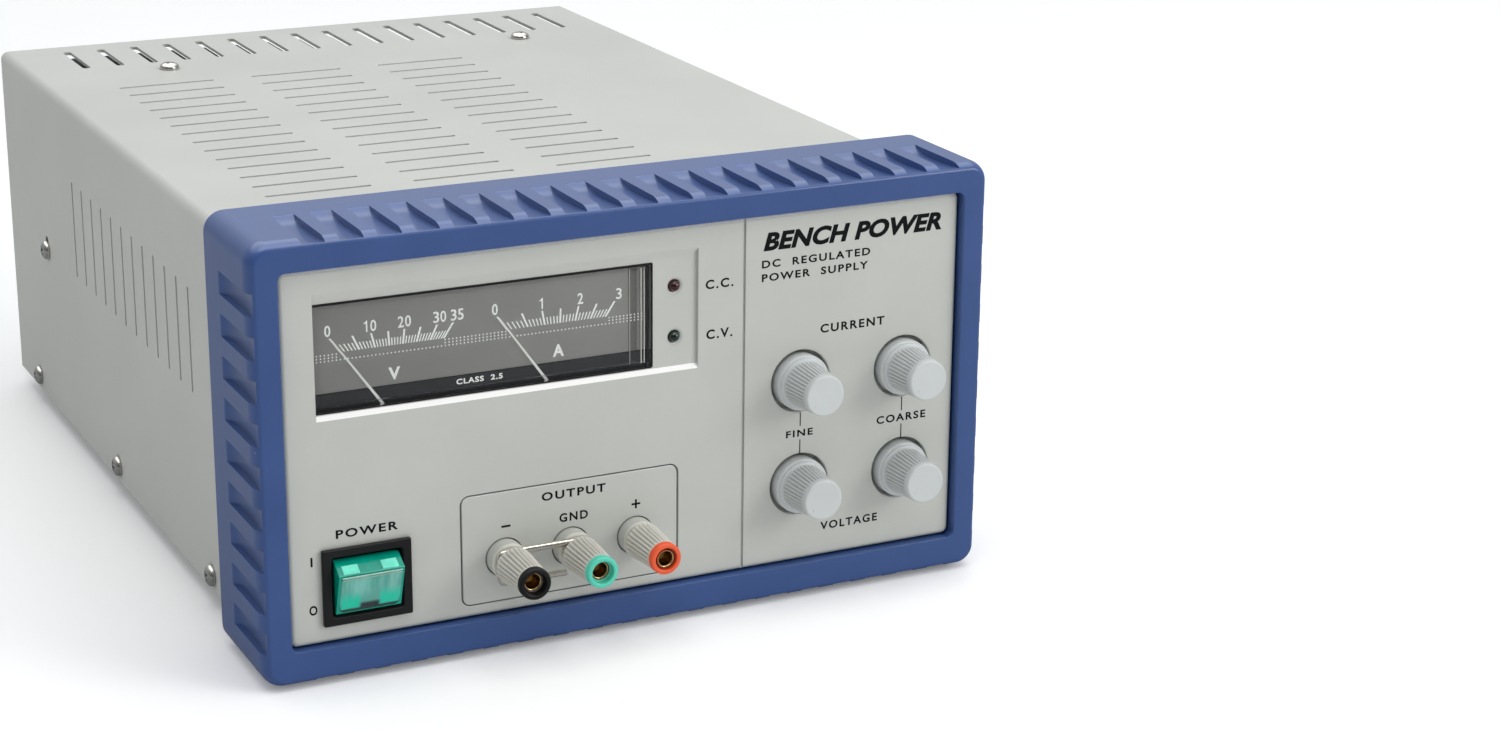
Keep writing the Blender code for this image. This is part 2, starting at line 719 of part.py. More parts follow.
def make_switch(black, green):
    x, z = SWITCH_CENTRE
    width, height = SWITCH_FRAME
    housing = box_object(
        "switch_housing",
        black,
        (x - width / 2 + 1.5, depth(1.6), z - height / 2 + 1.2),
        (x + width / 2 - 1.5, depth(24.0), z + height / 2 - 1.2),
    )
    frame = bmesh.new()
    rings = []
    for inset, front in ((0.8, 0.9), (0.25, 1.1), (0.0, 1.5), (0.0, PANEL_FACE - GAP)):
        outline = rounded_rectangle(
            x - width / 2 + inset, x + width / 2 - inset, z - height / 2 + inset, z + height / 2 - inset, 1.0, 2
        )
        rings.append(ring_at(outline, depth(front)))
    add_rings(frame, rings, False)
    apply_shape(housing, frame, "UNION")
    hollow = bmesh.new()
    opening_x, opening_z = SWITCH_OPENING
    add_box(
        hollow,
        (x - opening_x / 2, depth(-1), z - opening_z / 2),
        (x + opening_x / 2, depth(12.5), z + opening_z / 2),
    )
    apply_shape(housing, hollow, "DIFFERENCE")

    tilt = math.radians(ROCKER_TILT_DEG)
    profile = (
        (6.0, 5.6),
        (3.0, 5.4),
        (-3.0, 5.4),
        (-6.0, 5.6),
        (-6.25, 5.3),
        (-7.4, 0.0),
        (-7.1, -1.2),
        (-4.5, -3.6),
        (4.5, -3.6),
        (7.1, -1.2),
        (7.4, 0.0),
        (6.25, 5.3),
    )
    outline = []
    for along, out in profile:
        forward = along * math.sin(tilt) + out * math.cos(tilt)
        up = along * math.cos(tilt) - out * math.sin(tilt)
        outline.append((depth(ROCKER_PIVOT) - forward, z + up))
    mesh = bmesh.new()
    half = opening_x / 2 - GAP - 0.1
    add_prism(mesh, "x", outline, x - half, x + half)
    make_object("rocker", mesh, green, (x, depth(ROCKER_PIVOT), z), 30)


def make_posts(brass, cream, grey, nickel):
    for label, x in POST_COLUMNS.items():
        centre = (x, POST_Z)
        stud = [
            (depth(-3.0), 0),
            (depth(-3.0), SOCKET_RADIUS),
            (depth(-17.0), SOCKET_RADIUS),
            (depth(-17.0), STUD_RADIUS),
            (depth(9.5), STUD_RADIUS),
            (depth(9.5), 4.6),
            (depth(12.5), 4.6),
            (depth(12.5), 1.5),
            (depth(20.0), 1.5),
            (depth(20.0), 0),
        ]
        turned(f"stud_{label}", brass, "y", centre, stud, 24)
        collar = [
            (depth(COLLAR_FRONT), STUD_RADIUS + GAP),
            (depth(COLLAR_FRONT), COLLAR_RADIUS - 0.4),
            (depth(COLLAR_FRONT + 0.4), COLLAR_RADIUS),
            (depth(9.2), COLLAR_RADIUS),
            (depth(9.2), STUD_RADIUS + GAP),
        ]
        turned(f"collar_{label}", cream, "y", centre, collar, 24)
        base = CAP_BASES[label]
        tip = base - CAP_LENGTH
        pivot = (x, depth(base), POST_Z)
        bore = STUD_RADIUS + 0.1
        cap = [
            (depth(base), 4.4),
            (depth(base), 5.15),
            (depth(tip + 1.9), 4.35),
            (depth(tip + 0.3), 4.35),
            (depth(tip), 4.1),
            (depth(tip), bore),
            (depth(base - 0.9), bore),
            (depth(base - 0.9), 4.4),
        ]
        turned(f"cap_{label}", grey, "y", centre, cap, 24, pivot)
        washer = [
            (depth(base - 0.1), bore),
            (depth(base - 0.1), 4.1),
            (depth(base - 0.65), 4.1),
            (depth(base - 0.65), bore),
        ]
        turned(f"clamp_washer_{label}", nickel, "y", centre, washer, 24, pivot)

    left = POST_COLUMNS["negative"]
    right = POST_COLUMNS["ground"]
    middle = POST_Z - LINK_SAG
    mesh = bmesh.new()
    outline = rounded_rectangle(left - 4.3, right + 4.3, middle - 5.0, middle + 5.0, 2.0, 3)
    add_prism(mesh, "y", outline, depth(-4.0), depth(-2.6))
    link = make_object("shorting_link", mesh, nickel, (left, depth(-4.0), POST_Z))
    dish = bmesh.new()
    outline = rounded_rectangle(left - 3.7, right + 3.7, middle - 4.4, middle + 4.4, 1.5, 3)
    add_prism(dish, "y", outline, depth(-3.3), depth(-2.0))
    apply_shape(link, dish, "DIFFERENCE")
    holes = bmesh.new()
    add_lathe(holes, "y", (left, middle), screw_hole(depth(-5), depth(-3), 3.3), 24)
    outline = rounded_rectangle(left + 6.1, right + 3.3, middle - 3.3, middle + 3.3, 2.0, 3)
    add_prism(holes, "y", outline, depth(-5), depth(-3))
    apply_shape(link, holes, "DIFFERENCE")
    mouth = bmesh.new()
    add_box(mouth, (right - 3.8, depth(-5), middle - 6), (right + 2.8, depth(-2), middle))
    apply_shape(link, mouth, "DIFFERENCE")


def make_inlet(black, grey, red):
    face = depth(LOWER_REAR + GAP)
    x, z = INLET_X, INLET_Z
    inlet = box_object("mains_inlet", black, (x - 16, face, z - 18.5), (x + 16, face + 2.4, z + 18.5))
    body = bmesh.new()
    add_box(body, (x - 13.5, depth(252.0), z - 16), (x + 13.5, face + 1.0, z + 16))
    apply_shape(inlet, body, "UNION")
    cuts = bmesh.new()
    outline = [
        (x - 12.0, z - 14.4),
        (x + 12.0, z - 14.4),
        (x + 12.0, z - 2.0),
        (x + 8.0, z + 2.0),
        (x - 8.0, z + 2.0),
        (x - 12.0, z - 2.0),
    ]
    add_prism(cuts, "y", outline, depth(267.5), face + 4)
    add_box(cuts, (x - 11.4, depth(258.0), z + 4.8), (x + 11.4, face + 4, z + 14.0))
    apply_shape(inlet, cuts, "DIFFERENCE")
    pins = bmesh.new()
    for across, up in ((-7.0, -8.4), (7.0, -8.4), (0.0, -4.4)):
        low = (x + across - 1.0, depth(266.0), z + up - 2.0)
        high = (x + across + 1.0, depth(275.0), z + up + 2.0)
        add_box(pins, low, high)
    apply_shape(inlet, pins, "UNION")

    box_low = (x - 11.1, depth(259.0), z + 5.1)
    box_high = (x + 11.1, face + 2.8, z + 13.7)
    drawer = box_object("fuse_drawer", black, box_low, box_high)
    pockets = bmesh.new()
    add_box(pockets, (x - 9.6, depth(261.0), z + 7.2), (x + 9.6, depth(277.0), z + 15.0))
    apply_shape(drawer, pockets, "DIFFERENCE")

    x, z = SELECTOR_X, SELECTOR_Z
    housing = box_object("selector_housing", grey, (x - 16, face, z - 7.5), (x + 16, face + 1.4, z + 7.5))
    body = bmesh.new()
    add_box(body, (x - 10, depth(268.0), z - 6), (x + 10, face + 0.8, z + 6))
    apply_shape(housing, body, "UNION")
    cuts = bmesh.new()
    add_box(cuts, (x - 8.5, depth(276.0), z - 4.5), (x + 8.5, face + 3, z + 4.5))
    apply_shape(housing, cuts, "DIFFERENCE")
    slider = box_object(
        "selector_slider",
        red,
        (x - 8.2, depth(276.3), z - 4.2),
        (x + 2.2, face + 0.9, z + 4.2),
    )
    slot = bmesh.new()
    add_box(slot, (x - 7.0, face - 0.9, z - 0.6), (x + 1.0, face + 3, z + 0.6))
    apply_shape(slider, slot, "DIFFERENCE")


def make_internals(steel, copper, board, sleeve, black, can, red):
    floor = CASE_BOTTOM + 0.2 + TRAY_SHEET + GAP
    core = box_object("transformer_core", steel, (-88, depth(150), floor), (-8, depth(205), floor + 70))
    feet = bmesh.new()
    add_box(feet, (-92.5, depth(146), floor), (-3.5, depth(209), floor + 2))
    apply_shape(core, feet, "UNION")
    windows = bmesh.new()
    for low, high in ((-74, -62), (-34, -22)):
        add_box(windows, (low, depth(140), floor + 15), (high, depth(215), floor + 57))
    apply_shape(core, windows, "DIFFERENCE")
    coil = box_object(
        "transformer_coil", copper, (-73.7, depth(139), floor + 15.3), (-22.3, depth(216), floor + 56.7)
    )
    leg = bmesh.new()
    add_box(leg, (-62.3, depth(149.7), floor), (-33.7, depth(205.3), floor + 70))
    apply_shape(coil, leg, "DIFFERENCE")

    main_board = box_object("main_board", board, (2, depth(34), 14.0), (94, depth(225), 15.6))
    posts = bmesh.new()
    for x in (7, 89):
        for back in (40, 219):
            leg_profile = screw_hole(floor, 14.8, 2.5)
            add_lathe(posts, "z", (x, depth(back)), leg_profile, 12)
    apply_shape(main_board, posts, "UNION")
    for label, x in (("left", 30.0), ("right", 66.0)):
        profile = [(15.9, 0), (15.9, 14.2), (17.0, 15.0), (65.0, 15.0), (66.0, 14.2), (66.0, 0)]
        turned(f"capacitor_{label}", sleeve, "z", (x, depth(190)), profile, 24)
    box_object("rectifier", black, (34, depth(126), 15.9), (62, depth(154), 26.0))
    seat = depth(UPPER_REAR)
    transistor = box_object("power_transistor", can, (20.5, seat - 1.8, 68.0), (59.5, seat, 94.0))
    dome = bmesh.new()
    profile = [
        (seat - 9.0, 0),
        (seat - 9.0, 9.5),
        (seat - 8.0, 10.5),
        (seat - 1.0, 10.5),
        (seat - 1.0, 0),
    ]
    add_lathe(dome, "y", (40.0, 81.0), profile, 24)
    apply_shape(transistor, dome, "UNION")

    mains = smooth_path(
        (
            (-77, depth(24.4), 26),
            (-77, depth(34), 26),
            (-84, depth(60), 22),
            (-92.6, depth(95), 13),
            (-92.6, depth(150), 12.5),
            (-92.6, depth(205), 12.5),
            (-88, depth(226), 13),
            (-60, depth(236), 16),
            (0, depth(238), 18),
            (46, depth(238), 24),
            (60, depth(244), 27),
            (62, depth(251.6), 27.5),
        )
    )
    mesh = bmesh.new()
    add_tube(mesh, mains, 2.1)
    make_object("mains_wires", mesh, black, smooth_deg=60)
    output = smooth_path(
        (
            (-0.5, depth(20.4), 26.4),
            (-0.5, depth(30), 26.4),
            (5, depth(44), 24),
            (14, depth(54), 19),
            (16, depth(62), 17.9),
            (16, depth(74), 17.9),
        )
    )
    mesh = bmesh.new()
    add_tube(mesh, output, 1.9)
    make_object("output_wires", mesh, red, smooth_deg=60)


def make_feet(rubber):
    number = 0
    for back in (58.0, 262.0):
        for x in (-80.0, 80.0):
            number += 1
            profile = [(0.0, 0), (0.0, 6.2), (0.6, 6.8), (5.4, 7.4), (5.4, 0)]
            turned(f"foot_{number}", rubber, "z", (x, depth(back)), profile, 24)


def make_screws(nickel):
    head = SCREW_HEAD_RADIUS
    outer = -CASE_HALF_WIDTH
    for number, (back, z) in enumerate(SIDE_SCREWS, 1):
        profile = [
            (outer - 2.0, 0),
            (outer - 1.95, 1.4),
            (outer - 1.3, head - 0.35),
            (outer - 0.6, head),
            (outer - 0.1, head),
            (outer - 0.1, 1.5),
            (outer + 4.5, 1.5),
            (outer + 4.5, 0),
        ]
        turned(f"side_screw_{number}", nickel, "x", (depth(back), z), profile, 16)
    for number, (x, back) in enumerate(TOP_SCREWS, 1):
        profile = [
            (CASE_TOP + 2.0, 0),
            (CASE_TOP + 1.95, 1.4),
            (CASE_TOP + 1.3, head - 0.35),
            (CASE_TOP + 0.6, head),
            (CASE_TOP + 0.1, head),
            (CASE_TOP + 0.1, 1.5),
            (CASE_TOP - 4.5, 1.5),
            (CASE_TOP - 4.5, 0),
        ]
        turned(f"top_screw_{number}", nickel, "z", (x, depth(back)), profile, 16)


def main():
    for old in list(bpy.data.objects):
        bpy.data.objects.remove(old)
    case_paint = material("case_paint", (0.56, 0.57, 0.55), 0.0, 0.4)
    zinc = material("zinc_steel", (0.62, 0.62, 0.60), 0.9, 0.4)
    anodised = material("black_anodised", (0.02, 0.02, 0.02), 0.6, 0.45)
    blue = material("blue_plastic", (0.055, 0.10, 0.33), 0.0, 0.5)
    panel = material("panel_plastic", (0.52, 0.52, 0.49), 0.0, 0.45)
    black = material("black_plastic", (0.02, 0.02, 0.02), 0.0, 0.4)
    scale_grey = material("scale_grey", (0.21, 0.20, 0.19), 0.0, 0.5)
    clear = material("clear_plastic", (0.9, 0.92, 0.92), 0.0, 0.05, 0.2)
    needle_white = material("needle_white", (0.9, 0.9, 0.88), 0.0, 0.4)
    led_red = material("led_red", (0.30, 0.02, 0.02), 0.0, 0.2)
    led_green = material("led_green", (0.02, 0.20, 0.08), 0.0, 0.2)
    knob_white = material("knob_white", (0.62, 0.65, 0.66), 0.0, 0.4)
    rocker_green = material("rocker_green", (0.0, 0.35, 0.22), 0.0, 0.1)
    cap_grey = material("cap_grey", (0.42, 0.40, 0.36), 0.0, 0.5)
    collar_cream = material("collar_cream", (0.60, 0.58, 0.48), 0.0, 0.5)
    brass = material("brass", (0.72, 0.48, 0.20), 1.0, 0.3)
    nickel = material("nickel", (0.72, 0.70, 0.66), 1.0, 0.25)
    board = material("circuit_board", (0.03, 0.22, 0.08), 0.0, 0.4)
    core_steel = material("core_steel", (0.25, 0.25, 0.26), 0.8, 0.5)
    copper = material("winding_tape", (0.55, 0.32, 0.05), 0.0, 0.4)
    sleeve = material("capacitor_sleeve", (0.03, 0.04, 0.10), 0.0, 0.35)
    rubber = material("rubber", (0.02, 0.02, 0.02), 0.0, 0.8)
    red = material("red_plastic", (0.55, 0.03, 0.02), 0.0, 0.35)

    make_cover(case_paint)
    make_tray(zinc)
    make_rear_panel(case_paint)
    make_heatsink(anodised)
    make_bezel(blue)
    make_front_panel(panel)
    make_meter(black, scale_grey, clear, needle_white)
    make_leds(led_red, led_green)
    make_controls(knob_white, zinc, board)
    make_switch(black, rocker_green)
    make_posts(brass, collar_cream, cap_grey, nickel)
    make_inlet(black, scale_grey, red)
    make_internals(core_steel, copper, board, sleeve, black, nickel, red)
    make_feet(rubber)
    make_screws(nickel)


main()
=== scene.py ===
import math

import bmesh
import bpy
from mathutils import Matrix, Vector


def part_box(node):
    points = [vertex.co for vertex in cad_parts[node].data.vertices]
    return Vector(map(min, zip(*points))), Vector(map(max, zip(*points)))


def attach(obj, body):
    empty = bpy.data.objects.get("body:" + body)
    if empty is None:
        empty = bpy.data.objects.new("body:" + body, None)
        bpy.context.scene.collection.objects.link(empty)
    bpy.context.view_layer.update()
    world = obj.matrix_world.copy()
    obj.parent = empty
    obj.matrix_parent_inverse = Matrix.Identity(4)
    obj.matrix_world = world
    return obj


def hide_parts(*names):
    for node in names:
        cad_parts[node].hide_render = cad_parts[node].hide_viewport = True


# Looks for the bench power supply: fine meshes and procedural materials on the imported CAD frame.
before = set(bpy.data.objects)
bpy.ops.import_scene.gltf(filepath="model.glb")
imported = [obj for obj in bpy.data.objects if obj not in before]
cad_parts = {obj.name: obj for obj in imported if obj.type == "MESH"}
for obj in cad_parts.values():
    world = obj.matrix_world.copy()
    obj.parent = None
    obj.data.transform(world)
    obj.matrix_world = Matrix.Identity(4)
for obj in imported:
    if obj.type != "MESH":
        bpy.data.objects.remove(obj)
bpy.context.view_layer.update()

MM = 0.001
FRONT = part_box("front_bezel")[0].y / MM
CHASSIS = "chassis"
SLEEVE_STRIPE_DEPTH = 176.5
ROCKER_GLOW_HALF = 9.0


# ---- Places. Everything is in millimetres; a depth is measured back from the bezel's front plane. ----


def depth(value):
    return FRONT + value


def box_mm(node):
    low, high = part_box(node)
    return low / MM, high / MM


def centre_mm(node):
    low, high = box_mm(node)
    return (low + high) / 2


# ---- Mesh helpers ----


def to_world(axis, a, b, along):
    if axis == "x":
        return (along, a, b)
    if axis == "y":
        return (a, along, b)
    return (a, b, along)


def rounded_rectangle(x0, x1, z0, z1, radius, steps=6):
    outline = []
    for x, z, start in ((x1, z0, -90), (x1, z1, 0), (x0, z1, 90), (x0, z0, 180)):
        centre_x = x - math.copysign(radius, x - (x0 + x1) / 2)
        centre_z = z - math.copysign(radius, z - (z0 + z1) / 2)
        for step in range(steps + 1):
            angle = math.radians(start + 90 * step / steps)
            outline.append((centre_x + radius * math.cos(angle), centre_z + radius * math.sin(angle)))
    return outline


def capsule(a0, a1, b0, b1, steps=6):
    """A slot's outline: its short ends are half circles."""
    radius = min(a1 - a0, b1 - b0) / 2 * 0.999
    return rounded_rectangle(a0, a1, b0, b1, radius, steps)


def spaced(count, first, pitch):
    return [first + index * pitch for index in range(count)]


def ring_at(outline, y):
    return [(x, y, z) for x, z in outline]


def inset_outline(span, inset, radius, steps=6):
    """A rounded rectangle inside the span (x0, x1, z0, z1). A negative inset lies outside it."""
    x0, x1, z0, z1 = span
    return rounded_rectangle(x0 + inset, x1 - inset, z0 + inset, z1 - inset, radius, steps)


def inset_ring(span, inset, radius, y, steps=6):
    return ring_at(inset_outline(span, inset, radius, steps), y)


def front_span(low, high):
    return low.x, high.x, low.z, high.z


def rounding(wide, deep, steps):
    """(inset, distance back) pairs round a quarter of an ellipse, from its front to its side."""
    for step in range(steps + 1):
        angle = math.radians(90 * step / steps)
        yield wide * (1 - math.sin(angle)), deep * (1 - math.cos(angle))


def add_box(mesh, low, high):
    ends = [(low[index], high[index]) for index in range(3)]
    corners = [mesh.verts.new((x, y, z)) for x in ends[0] for y in ends[1] for z in ends[2]]
    for face in ((0, 1, 3, 2), (4, 6, 7, 5), (0, 4, 5, 1), (2, 3, 7, 6), (0, 2, 6, 4), (1, 5, 7, 3)):
        mesh.faces.new([corners[index] for index in face])


def join(mesh, near, far):
    """Faces between two rings of vertices."""
    for index in range(len(near)):
        after = (index + 1) % len(near)
        mesh.faces.new((near[index], near[after], far[after], far[index]))


def add_prism(mesh, axis, outline, start, end):
    first = [mesh.verts.new(to_world(axis, a, b, start)) for a, b in outline]
    last = [mesh.verts.new(to_world(axis, a, b, end)) for a, b in outline]
    mesh.faces.new(first[::-1])
    mesh.faces.new(last)
    join(mesh, first, last)


def add_rings(mesh, rings, closed=False, caps=True):
    loops = [[mesh.verts.new(point) for point in ring] for ring in rings]
    pairs = list(zip(loops, loops[1:]))
    if closed:
        pairs.append((loops[-1], loops[0]))
    elif caps:
        mesh.faces.new(loops[0][::-1])
        mesh.faces.new(loops[-1])
    for near, far in pairs:
        join(mesh, near, far)
    return loops


def ringed(rings, closed=False):
    mesh = bmesh.new()
    add_rings(mesh, rings, closed)
    return mesh


def add_lathe(mesh, axis, centre, profile, segments=64, ribs=None):
    """A turned solid from (place, radius) pairs. ribs(place, radius, angle) adds to the radius."""
    solid = profile[0][1] == 0
    rings = []
    for along, radius in profile[1:-1] if solid else profile:
        ring = []
        for index in range(segments):
            angle = 2 * math.pi * index / segments
            r = radius + (ribs(along, radius, angle) if ribs else 0.0)
            a, b = centre[0] + r * math.cos(angle), centre[1] + r * math.sin(angle)
            ring.append(to_world(axis, a, b, along))
        rings.append(ring)
    loops = add_rings(mesh, rings, not solid, False)
    if not solid:
        return
    for loop, along in ((loops[0], profile[0][0]), (loops[-1], profile[-1][0])):
        tip = mesh.verts.new(to_world(axis, centre[0], centre[1], along))
        for index in range(segments):
            mesh.faces.new((loop[index], loop[(index + 1) % segments], tip))


def add_tube(mesh, points, radius, sides=16):
    path = [Vector(point) for point in points]
    rings = []
    side = Vector((0.03, 0.05, 1))
    for index, point in enumerate(path):
        along = (path[min(index + 1, len(path) - 1)] - path[max(index - 1, 0)]).normalized()
        side = (side - along * side.dot(along)).normalized()
        other = along.cross(side)
        ring = []
        for step in range(sides):
            angle = 2 * math.pi * step / sides
            ring.append(point + radius * (math.cos(angle) * side + math.sin(angle) * other))
        rings.append(ring)
    add_rings(mesh, rings)


def smooth_path(points, steps=8):
    path = [Vector(point) for point in points]
    ends = [path[0] * 2 - path[1]] + path + [path[-1] * 2 - path[-2]]
    found = []
    for index in range(1, len(ends) - 2):
        p0, p1, p2, p3 = ends[index - 1 : index + 3]
        for step in range(steps):
            t = step / steps
            cubic = (3 * p1 - p0 - 3 * p2 + p3) * t**3
            square = (2 * p0 - 5 * p1 + 4 * p2 - p3) * t**2
            found.append((cubic + square + (p2 - p0) * t + 2 * p1) / 2)
    found.append(path[-1])
    return found


def finish_mesh(data, smooth_deg):
    data.shade_smooth()
    data.set_sharp_from_angle(angle=math.radians(smooth_deg))


def make_object(name, mesh, finish=None, smooth_deg=35):
    bmesh.ops.recalc_face_normals(mesh, faces=mesh.faces)
    for vertex in mesh.verts:
        vertex.co *= MM
    data = bpy.data.meshes.new(name)
    mesh.to_mesh(data)
    mesh.free()
    finish_mesh(data, smooth_deg)
    made = bpy.data.objects.new(name, data)
    bpy.context.scene.collection.objects.link(made)
    if finish:
        data.materials.append(finish)
    return made


def bake(target):
    """Replaces an object's mesh with its evaluated one."""
    bpy.context.view_layer.update()
    graph = bpy.context.evaluated_depsgraph_get()
    data = bpy.data.meshes.new_from_object(target.evaluated_get(graph))
    target.modifiers.clear()
    old = target.data
    target.data = data
    bpy.data.meshes.remove(old)


def cut(target, *meshes, operation="DIFFERENCE"):
    """Booleans the meshes with a target in turn, and bakes the result."""
    helpers = []
    for mesh in meshes:
        helper = make_object(target.name + "_helper", mesh)
        modifier = target.modifiers.new("cut", "BOOLEAN")
        modifier.operation = operation
        modifier.solver = "EXACT"
        modifier.object = helper
        helpers.append(helper)
    bake(target)
    for helper in helpers:
        data = helper.data
        bpy.data.objects.remove(helper)
        bpy.data.meshes.remove(data)


def soften(target, width, segments=2, angle_deg=35, smooth_deg=35):
    """Rounds the edges and keeps the flat faces flat."""
    finish_mesh(target.data, smooth_deg)
    modifier = target.modifiers.new("soft_edges", "BEVEL")
    modifier.width = width * MM
    modifier.segments = segments
    modifier.limit_method = "ANGLE"
    modifier.angle_limit = math.radians(angle_deg)
    modifier.use_clamp_overlap = True
    modifier.harden_normals = False
    weighted = target.modifiers.new("flat_faces", "WEIGHTED_NORMAL")
    weighted.keep_sharp = True


def place(target, body=CHASSIS, nodes=()):
    if nodes:
        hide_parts(*nodes)
    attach(target, body)
    return target


def turned(name, finish, axis, centre, profile, body=CHASSIS, nodes=(), segments=64, ribs=None):
    mesh = bmesh.new()
    add_lathe(mesh, axis, centre, profile, segments, ribs)
    return place(make_object(name, mesh, finish, 40), body, nodes)


def refine(node, finish, bevel=0.2, body=CHASSIS, segments=2):
    """A copy of a CAD piece with rounded edges, shown in its place."""
    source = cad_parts[node]
    mesh = bmesh.new()
    mesh.from_mesh(source.data)
    bmesh.ops.remove_doubles(mesh, verts=mesh.verts, dist=2e-6)
    bmesh.ops.dissolve_limit(mesh, angle_limit=math.radians(1), verts=mesh.verts, edges=mesh.edges)
    for vertex in mesh.verts:
        vertex.co /= MM
    made = make_object(node + "_shape", mesh, finish)
    if bevel:
        soften(made, bevel, segments)
    return place(made, body, (node,))


# ---- Materials ----


def linear(red, green, blue):
    found = []
    for value in (red, green, blue):
        value /= 255
        found.append(value / 12.92 if value <= 0.04045 else ((value + 0.055) / 1.055) ** 2.4)
    return (*found, 1.0)


def toned(colour, factor):
    """A colour made darker or lighter."""
    return tuple(min(value * factor, 1.0) for value in colour[:3]) + (1.0,)


class Tree:
    """A short way to build a node tree. A socket is given a plain value or another node's output."""

    def __init__(self, tree):
        self.tree = tree

    def give(self, socket, value):
        if isinstance(value, (int, float, tuple)):
            socket.default_value = value
        else:
            self.tree.links.new(value, socket)

    def add(self, kind, inputs=None, **values):
        node = self.tree.nodes.new(kind)
        for key, value in values.items():
            setattr(node, key, value)
        for key, value in (inputs or {}).items():
            self.give(node.inputs[key], value)
        return node

    def ramp(self, source, *stops):
        node = self.add("ShaderNodeValToRGB")
        elements = node.color_ramp.elements
        while len(elements) < len(stops):
            elements.new(0.5)
        for element, (position, colour) in zip(elements, stops):
            element.position = position
            element.color = colour if isinstance(colour, tuple) else (colour, colour, colour, 1.0)
        self.give(node.inputs["Fac"], source)
        return node.outputs["Color"]

    def mix(self, factor, first, second, mode="MIX"):
        inputs = {0: factor, 6: first, 7: second}
        return self.add("ShaderNodeMix", inputs, data_type="RGBA", blend_type=mode).outputs[2]

    def math(self, operation, first, second=0.0, *third):
        inputs = dict(enumerate((first, second, *third)))
        return self.add("ShaderNodeMath", inputs, operation=operation).outputs[0]


class Nodes(Tree):
    """The node tree of a new material."""

    def __init__(self, name):
        self.material = bpy.data.materials.new(name)
        self.material.use_nodes = True
        super().__init__(self.material.node_tree)
        self.shader = self.tree.nodes["Principled BSDF"]
        self.output = self.tree.nodes["Material Output"]
        self.place = self.add("ShaderNodeTexCoord").outputs["Object"]

    def set(self, **values):
        """Sets the shader's sockets; an underscore stands for a space in a socket's name."""
        for key, value in values.items():
            self.give(self.shader.inputs[key.replace("_", " ")], value)

    def noise(self, scale, detail=3.0, roughness=0.55, stretch=None):
        node = self.add("ShaderNodeTexNoise", {"Scale": scale, "Detail": detail, "Roughness": roughness})
        source = self.place
        if stretch:
            mapping = self.add("ShaderNodeMapping", {"Scale": stretch, "Vector": source})
            source = mapping.outputs["Vector"]
        self.give(node.inputs["Vector"], source)
        return node.outputs["Fac"]

    def axis(self, name, source=None):
        return self.add("ShaderNodeSeparateXYZ", {0: source or self.place}).outputs[name]

    def bump(self, source, strength, distance):
        inputs = {"Strength": strength, "Distance": distance * MM, "Height": source}
        node = self.add("ShaderNodeBump", inputs)
        previous = self.shader.inputs["Normal"]
        if previous.links:
            self.give(node.inputs["Normal"], previous.links[0].from_socket)
        self.give(previous, node.outputs["Normal"])

    def corners(self, colour, dark, reach):
        """Grime and shade that gathers in the corners."""
        node = self.add("ShaderNodeAmbientOcclusion", {"Distance": reach * MM}, samples=4)
        shade = self.ramp(node.outputs["AO"], (0.25, dark), (0.85, 1.0))
        return self.mix(1.0, colour, shade, "MULTIPLY")


def moulded(
    name, colour, roughness, mottle=0.05, grain=0.25, grain_size=0.25, shade=0.75, reach=1.5,
    specks=0.0, lift=0.0, coat=0.0, shine=0.5
):
    """Moulded plastic: fine spark-eroded grain, slight clouding, dust specks and shade in the corners; with
    lift, painted light on the faces that turn upward.
    """
    nodes = Nodes(name)
    cloud = nodes.noise(45.0, 4.0, 0.6)
    tone = nodes.ramp(cloud, (0.35, toned(colour, 1 - mottle)), (0.65, toned(colour, 1 + mottle)))
    if specks:
        dust = nodes.add("ShaderNodeTexVoronoi", {"Scale": 260.0, "Vector": nodes.place})
        near = nodes.math("LESS_THAN", dust.outputs["Distance"], 0.035)
        rare = nodes.math("GREATER_THAN", dust.outputs["Color"], 0.72)
        speck = nodes.math("MULTIPLY", nodes.math("MULTIPLY", near, rare), specks)
        tone = nodes.mix(speck, tone, (0.75, 0.78, 0.82, 1.0))
    # Painted light: faces that turn upward are made paler, as if lit from above.
    if lift:
        facing = nodes.add("ShaderNodeNewGeometry")
        painted_top_light = nodes.ramp(nodes.axis("Z", facing.outputs["Normal"]), (0.3, 0.0), (0.6, lift))
        tone = nodes.mix(painted_top_light, tone, (0.98, 0.98, 0.96, 1.0))
    if shade < 1.0:
        tone = nodes.corners(tone, shade, reach)
    nodes.set(Base_Color=tone, Coat_Weight=coat, Coat_Roughness=0.09, Specular_IOR_Level=shine)
    fine = nodes.noise(1000.0 / grain_size, 2.0)
    nodes.set(Roughness=nodes.ramp(cloud, (0.3, roughness - 0.05), (0.7, roughness + 0.05)))
    nodes.bump(fine, grain, 0.03)
    return nodes.material


def metal(name, colour, roughness, brushed, mottle=0.08, tarnish=None, grain=0.15):
    """Plated or turned metal: fine tool lines, small scratches, a little tarnish and, with it, painted shade
    in the corners.
    """
    nodes = Nodes(name)
    tone = nodes.ramp(nodes.noise(120.0, 5.0, 0.65), (0.35, toned(colour, 1 - mottle)), (0.65, colour))
    if tarnish:
        stain = nodes.ramp(nodes.noise(600.0, 6.0, 0.7), (0.52, 0.0), (0.75, 1.0))
        tone = nodes.mix(nodes.math("MULTIPLY", stain, 0.5), tone, tarnish)
        # Painted shade: the corners are darkened.
        tone = nodes.corners(tone, 0.6, 0.8)
    nodes.set(Base_Color=tone, Metallic=1.0)
    lines = nodes.noise(900.0, 3.0, 0.6, brushed)
    nodes.set(Roughness=nodes.ramp(lines, (0.3, roughness * 0.75), (0.7, roughness * 1.35)))
    nodes.bump(lines, grain, 0.02)
    return nodes.material


